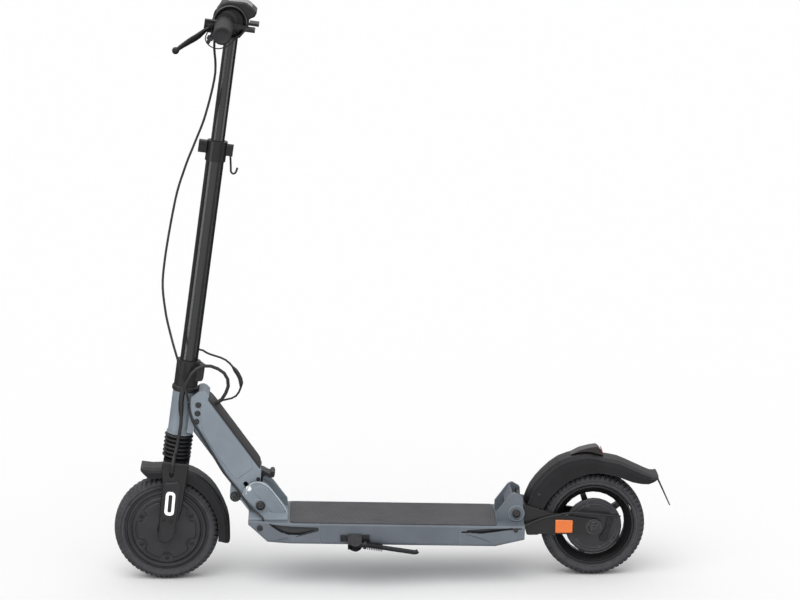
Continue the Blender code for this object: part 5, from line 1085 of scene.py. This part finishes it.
# %% Shadow lines of the deck's leaf inlays
DECK_HALF, NOSE_HALF, NOSE_LENGTH, NOSE_CURVE = 77.5, 58, 82, 1.25
TAIL_START, TAIL_LENGTH, TAIL_INSET = 463.8, 60, 4.5
LEAF_DEPTHS = (-0.6, 0.25)
LEAF_LINES = (
    (
        "front_leaf_shadow", "recess",
        [(41, -2.2), (51, -7.4), (63, -13.4), (78, -17.0), (96, -17.2), (112, -14.0), (124, -10.8)],
        [(40, -3.8), (49, -10.4), (61, -17.4), (77, -21.6), (96, -21.2), (112, -16.2), (124, -11.6)],
    ),
    (
        "front_leaf_crease_shade", "crease",
        [(55, -33.2), (72, -28.4), (92, -23.6), (110, -19.2)],
        [(55, -33.9), (73, -29.8), (93, -25.2), (110, -19.8)],
    ),
    (
        "rear_leaf_shadow", "recess",
        [(404, -10.0), (420, -9.6), (440, -9.6), (462, -7.6), (486, -4.6), (500, -2.8)],
        [(403, -12.8), (420, -13.0), (442, -13.2), (464, -10.6), (487, -7.0), (500, -4.6)],
    ),
    (
        "rear_leaf_crease_shade", "crease",
        [(412, -15.2), (430, -19.6), (446, -24.6), (458, -29.8)],
        [(412, -15.9), (429, -20.8), (445, -25.9), (458, -30.5)],
    ),
)


def deck_depth(x):
    """How far out the deck's side is here: it tapers at the nose and a little at the tail."""
    if x < NOSE_LENGTH:
        return NOSE_HALF + (DECK_HALF - NOSE_HALF) * (1 - (1 - x / NOSE_LENGTH) ** NOSE_CURVE)
    return DECK_HALF - TAIL_INSET * max(x - TAIL_START, 0) / TAIL_LENGTH


for name, key, upper, lower in LEAF_LINES:
    outline = upper + lower[::-1]
    for side, word in SIDES:
        back, front = (lambda x, lift=lift: side * (deck_depth(x) + lift) for lift in LEAF_DEPTHS)
        bm = layers([(outline, back), (outline, front)], DECK)
        settle(bm, name + "_" + word, key, "deck")
print("leaf shadows and creases on both sides")

# %% [markdown]
# The rear arm carries small things: an amber reflector in its own frame, the ringed bolt of the
# hinge, axle nuts inside round bosses and the ribs of the drum brake's plate.

# %% Rear arm, axle and brake
ARM_FACE = 34.9
REFLECTOR_FRAME = rounded([(73, -42, 3), (109, -42, 3), (110, -14.6, 3), (73, -13, 3)])
REFLECTOR = rounded([(74.6, -40.6, 2.4), (107.6, -40.6, 2.4), (108.4, -16, 2.4), (74.6, -14.6, 2.4)])
HINGE_RING = [(15.6, -0.4), (15.6, 0.9), (15.1, 1.5), (14.0, 1.5), (13.5, 0.8), (13.1, -0.4)]
AXLE_NUT = [
    (15.4, -0.6), (15.4, 0.8), (14.8, 1.4), (13.2, 1.4), (12.8, 0.7), (10.6, 0.7), (10.2, 1.6), (9.6, 2.0),
    (9.6, 3.2, SIX_SIDED), (9.2, 6.4, SIX_SIDED), (6.4, 6.9), (6.0, 6.6), (5.4, 8.2), (4.2, 8.6), (2.4, 8.6),
    (1.8, 7.6),
]
BRAKE_BOSSES = ((-37, 8, 4.2), (-32, -26, 3.4), (12, -42, 3.4), (35, -30, 3.0), (36, 22, 4.6), (-12, 41, 3.4))
BRAKE_RIBS = (50.0, 44.5)
RIB_PROFILE = ((0, -0.4), (0, 0.7), (0.7, 1.1), (1.8, 1.1), (2.5, 0.5), (2.5, -0.4))
for side, word in SIDES:
    bm = plate(REFLECTOR_FRAME, side * (ARM_FACE - 0.6), side * (ARM_FACE + 1.6), 0.7, SWING)
    settle(bm, "side_reflector_frame_" + word, "abs", "swing_arm")
    bm = plate(REFLECTOR, side * (ARM_FACE + 1.0), side * (ARM_FACE + 4.4), 1.2, SWING)
    settle(bm, "side_reflector_" + word, "amber", "swing_arm")
    bm = turned(HINGE_RING, 40, SWING @ outward(side, face=40.2))
    settle(bm, "hinge_ring_" + word, "cast_paint", "deck")
    bm = turned(AXLE_NUT, 48, REAR @ outward(side, face=35.1))
    settle(bm, "rear_axle_nut_" + word, "screw_black", "swing_arm")

both_sides(SWING, ((0, 0),), 44.3, "hinge_sockets", 6.8, 1.4, "deck")
bm = bmesh.new()
for x, z, radius in BRAKE_BOSSES:
    boss = [
        (radius + 1.6, -0.4), (radius + 1.2, 1.4), (radius, 1.8), (radius * 0.6, 1.8), (radius * 0.5, 0.8),
    ]
    turned(boss, 28, REAR @ outward(-1, x, 28.6, z), bm=bm)
for radius in BRAKE_RIBS:
    rib = [(radius - inset, rise) for inset, rise in RIB_PROFILE]
    turned_ring(rib, 96, REAR @ outward(-1, face=28.5), bm=bm)
settle(bm, "brake_plate_bosses", "plate_relief", "swing_arm")
print("rear arm fittings on both sides,", len(BRAKE_BOSSES), "bosses on the brake plate")

# %% [markdown]
# The tail lamp sits on the rear fender and has a red lens that faces back, tilted a little up.
# A rivet on each side holds the fender to the arm.

# %% Tail lamp and fender rivets
LENS_OUTLINE = rounded([(-11, 3.2, 2), (11, 3.2, 2), (10.2, 12.4, 2), (-10.2, 12.4, 2)])
LENS_TILT = -17
lamp_low, lamp_high = (Vector(corner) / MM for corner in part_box("tail_light"))
lamp_back = at(lamp_high.x - 0.8, 0, lamp_low.z + 1.2, 90, "Z") @ at(0, 0, 0, LENS_TILT, "X")
settle(plate(LENS_OUTLINE, 0.8, -1.4, 0.6, lamp_back), "tail_lamp_lens", "red", "swing_arm")
both_sides(SWING, ((43.5, 34.5),), 31.6, "fender_rivets", 2.6, 1.2, "swing_arm")
print("tail lamp lens and fender rivets")

# %% [markdown]
# The handlebar head is crowded. A round clamp joins each bar to the head, a fine wire loops from
# the brake lever's sensor up to the head, and a knurled barrel sets the slack of the cable.

# %% Handlebar fittings
HEAD_FACE = 37.0
HEAD_RING = [
    (24.0, -0.6), (30.6, -0.6), (31.2, 0.4), (31.2, 6.0), (30.4, 7.6), (28.6, 8.0), (27.2, 7.0), (25.0, 6.4),
    (24.0, 5.6),
]
BAR_COLLAR = [
    (11.5, -0.6), (24, -0.6), (24, 2.0), (21, 3.2), (17.5, 4.0), (16.8, 10.0), (16.0, 11.0), (11.5, 11.0),
]
SENSOR_WIRE = [
    (-41, -112, 967), (-45.5, -114, 956), (-45, -115, 950), (-38.5, -115, 941.3), (-28.9, -115, 937.2),
    (-17.8, -112, 936.2), (-6.1, -100, 940.2), (3.6, -80, 946.3), (9, -62, 952), (10, -48, 957),
    (8, -38, 962),
]
BARREL = [
    (3.2, -1), (3.2, 5), (4.6, 5.6), (5.8, 6.4), (5.8, 12.6), (4.8, 13.4), (3.4, 14), (3.4, 20), (2.4, 21),
]
FLUTES, FLUTE_DEPTH, KNURL_FROM = 16, 0.35, 5.5


def knurl(turn, reach, height):
    """Cuts sixteen grip flutes into the widest part of the barrel."""
    if reach > KNURL_FROM * MM:
        reach += FLUTE_DEPTH * MM * (1 if int(turn / (2 * pi) * 2 * FLUTES) % 2 else -1)
    return reach, height


for side, word in SIDES:
    bm = turned_ring(HEAD_RING, 64, BAR @ outward(side, 9.5, HEAD_FACE, 2.0))
    settle(bm, "head_ring_" + word, "gloss_trim", "upper_stem", angle=60)
    bm = turned(BAR_COLLAR, 56, BAR @ outward(side, face=HEAD_FACE))
    settle(bm, "bar_collar_" + word, "abs", "upper_stem")
strip("sensor_wire", SENSOR_WIRE, 1.1, "jacket", "upper_stem", (), STEER)
bm = turned(BARREL, 64, STEER @ at(-33, -106, 962, 200), knurl)
settle(bm, "cable_barrel", "plate_relief", "upper_stem")
print("head rings, bar collars, sensor wire and barrel")

# %% [markdown]
# Each side of the beam has one raised field that follows its outline up to the head tube. Its
# bevelled edge catches the light of the sky and draws the beam's shape.

# %% Beam panels
BEAM_PANEL = rounded([
    (-9.5, 66, 10), (31, 66, 6), (37.2, 90, 10), (37.2, 216, 10), (29, 232, 10), (24, 225, 6), (9, 205, 12),
    (-5.5, 178, 20), (-10.5, 130, 30),
], 6)
for side, word in SIDES:
    bm = plate(BEAM_PANEL, side * 32.6, side * 34.2, 1.3, BEAM)
    settle(bm, "beam_panel_" + word, "cast_paint", "beam", angle=20)
print("beam panels on both sides")
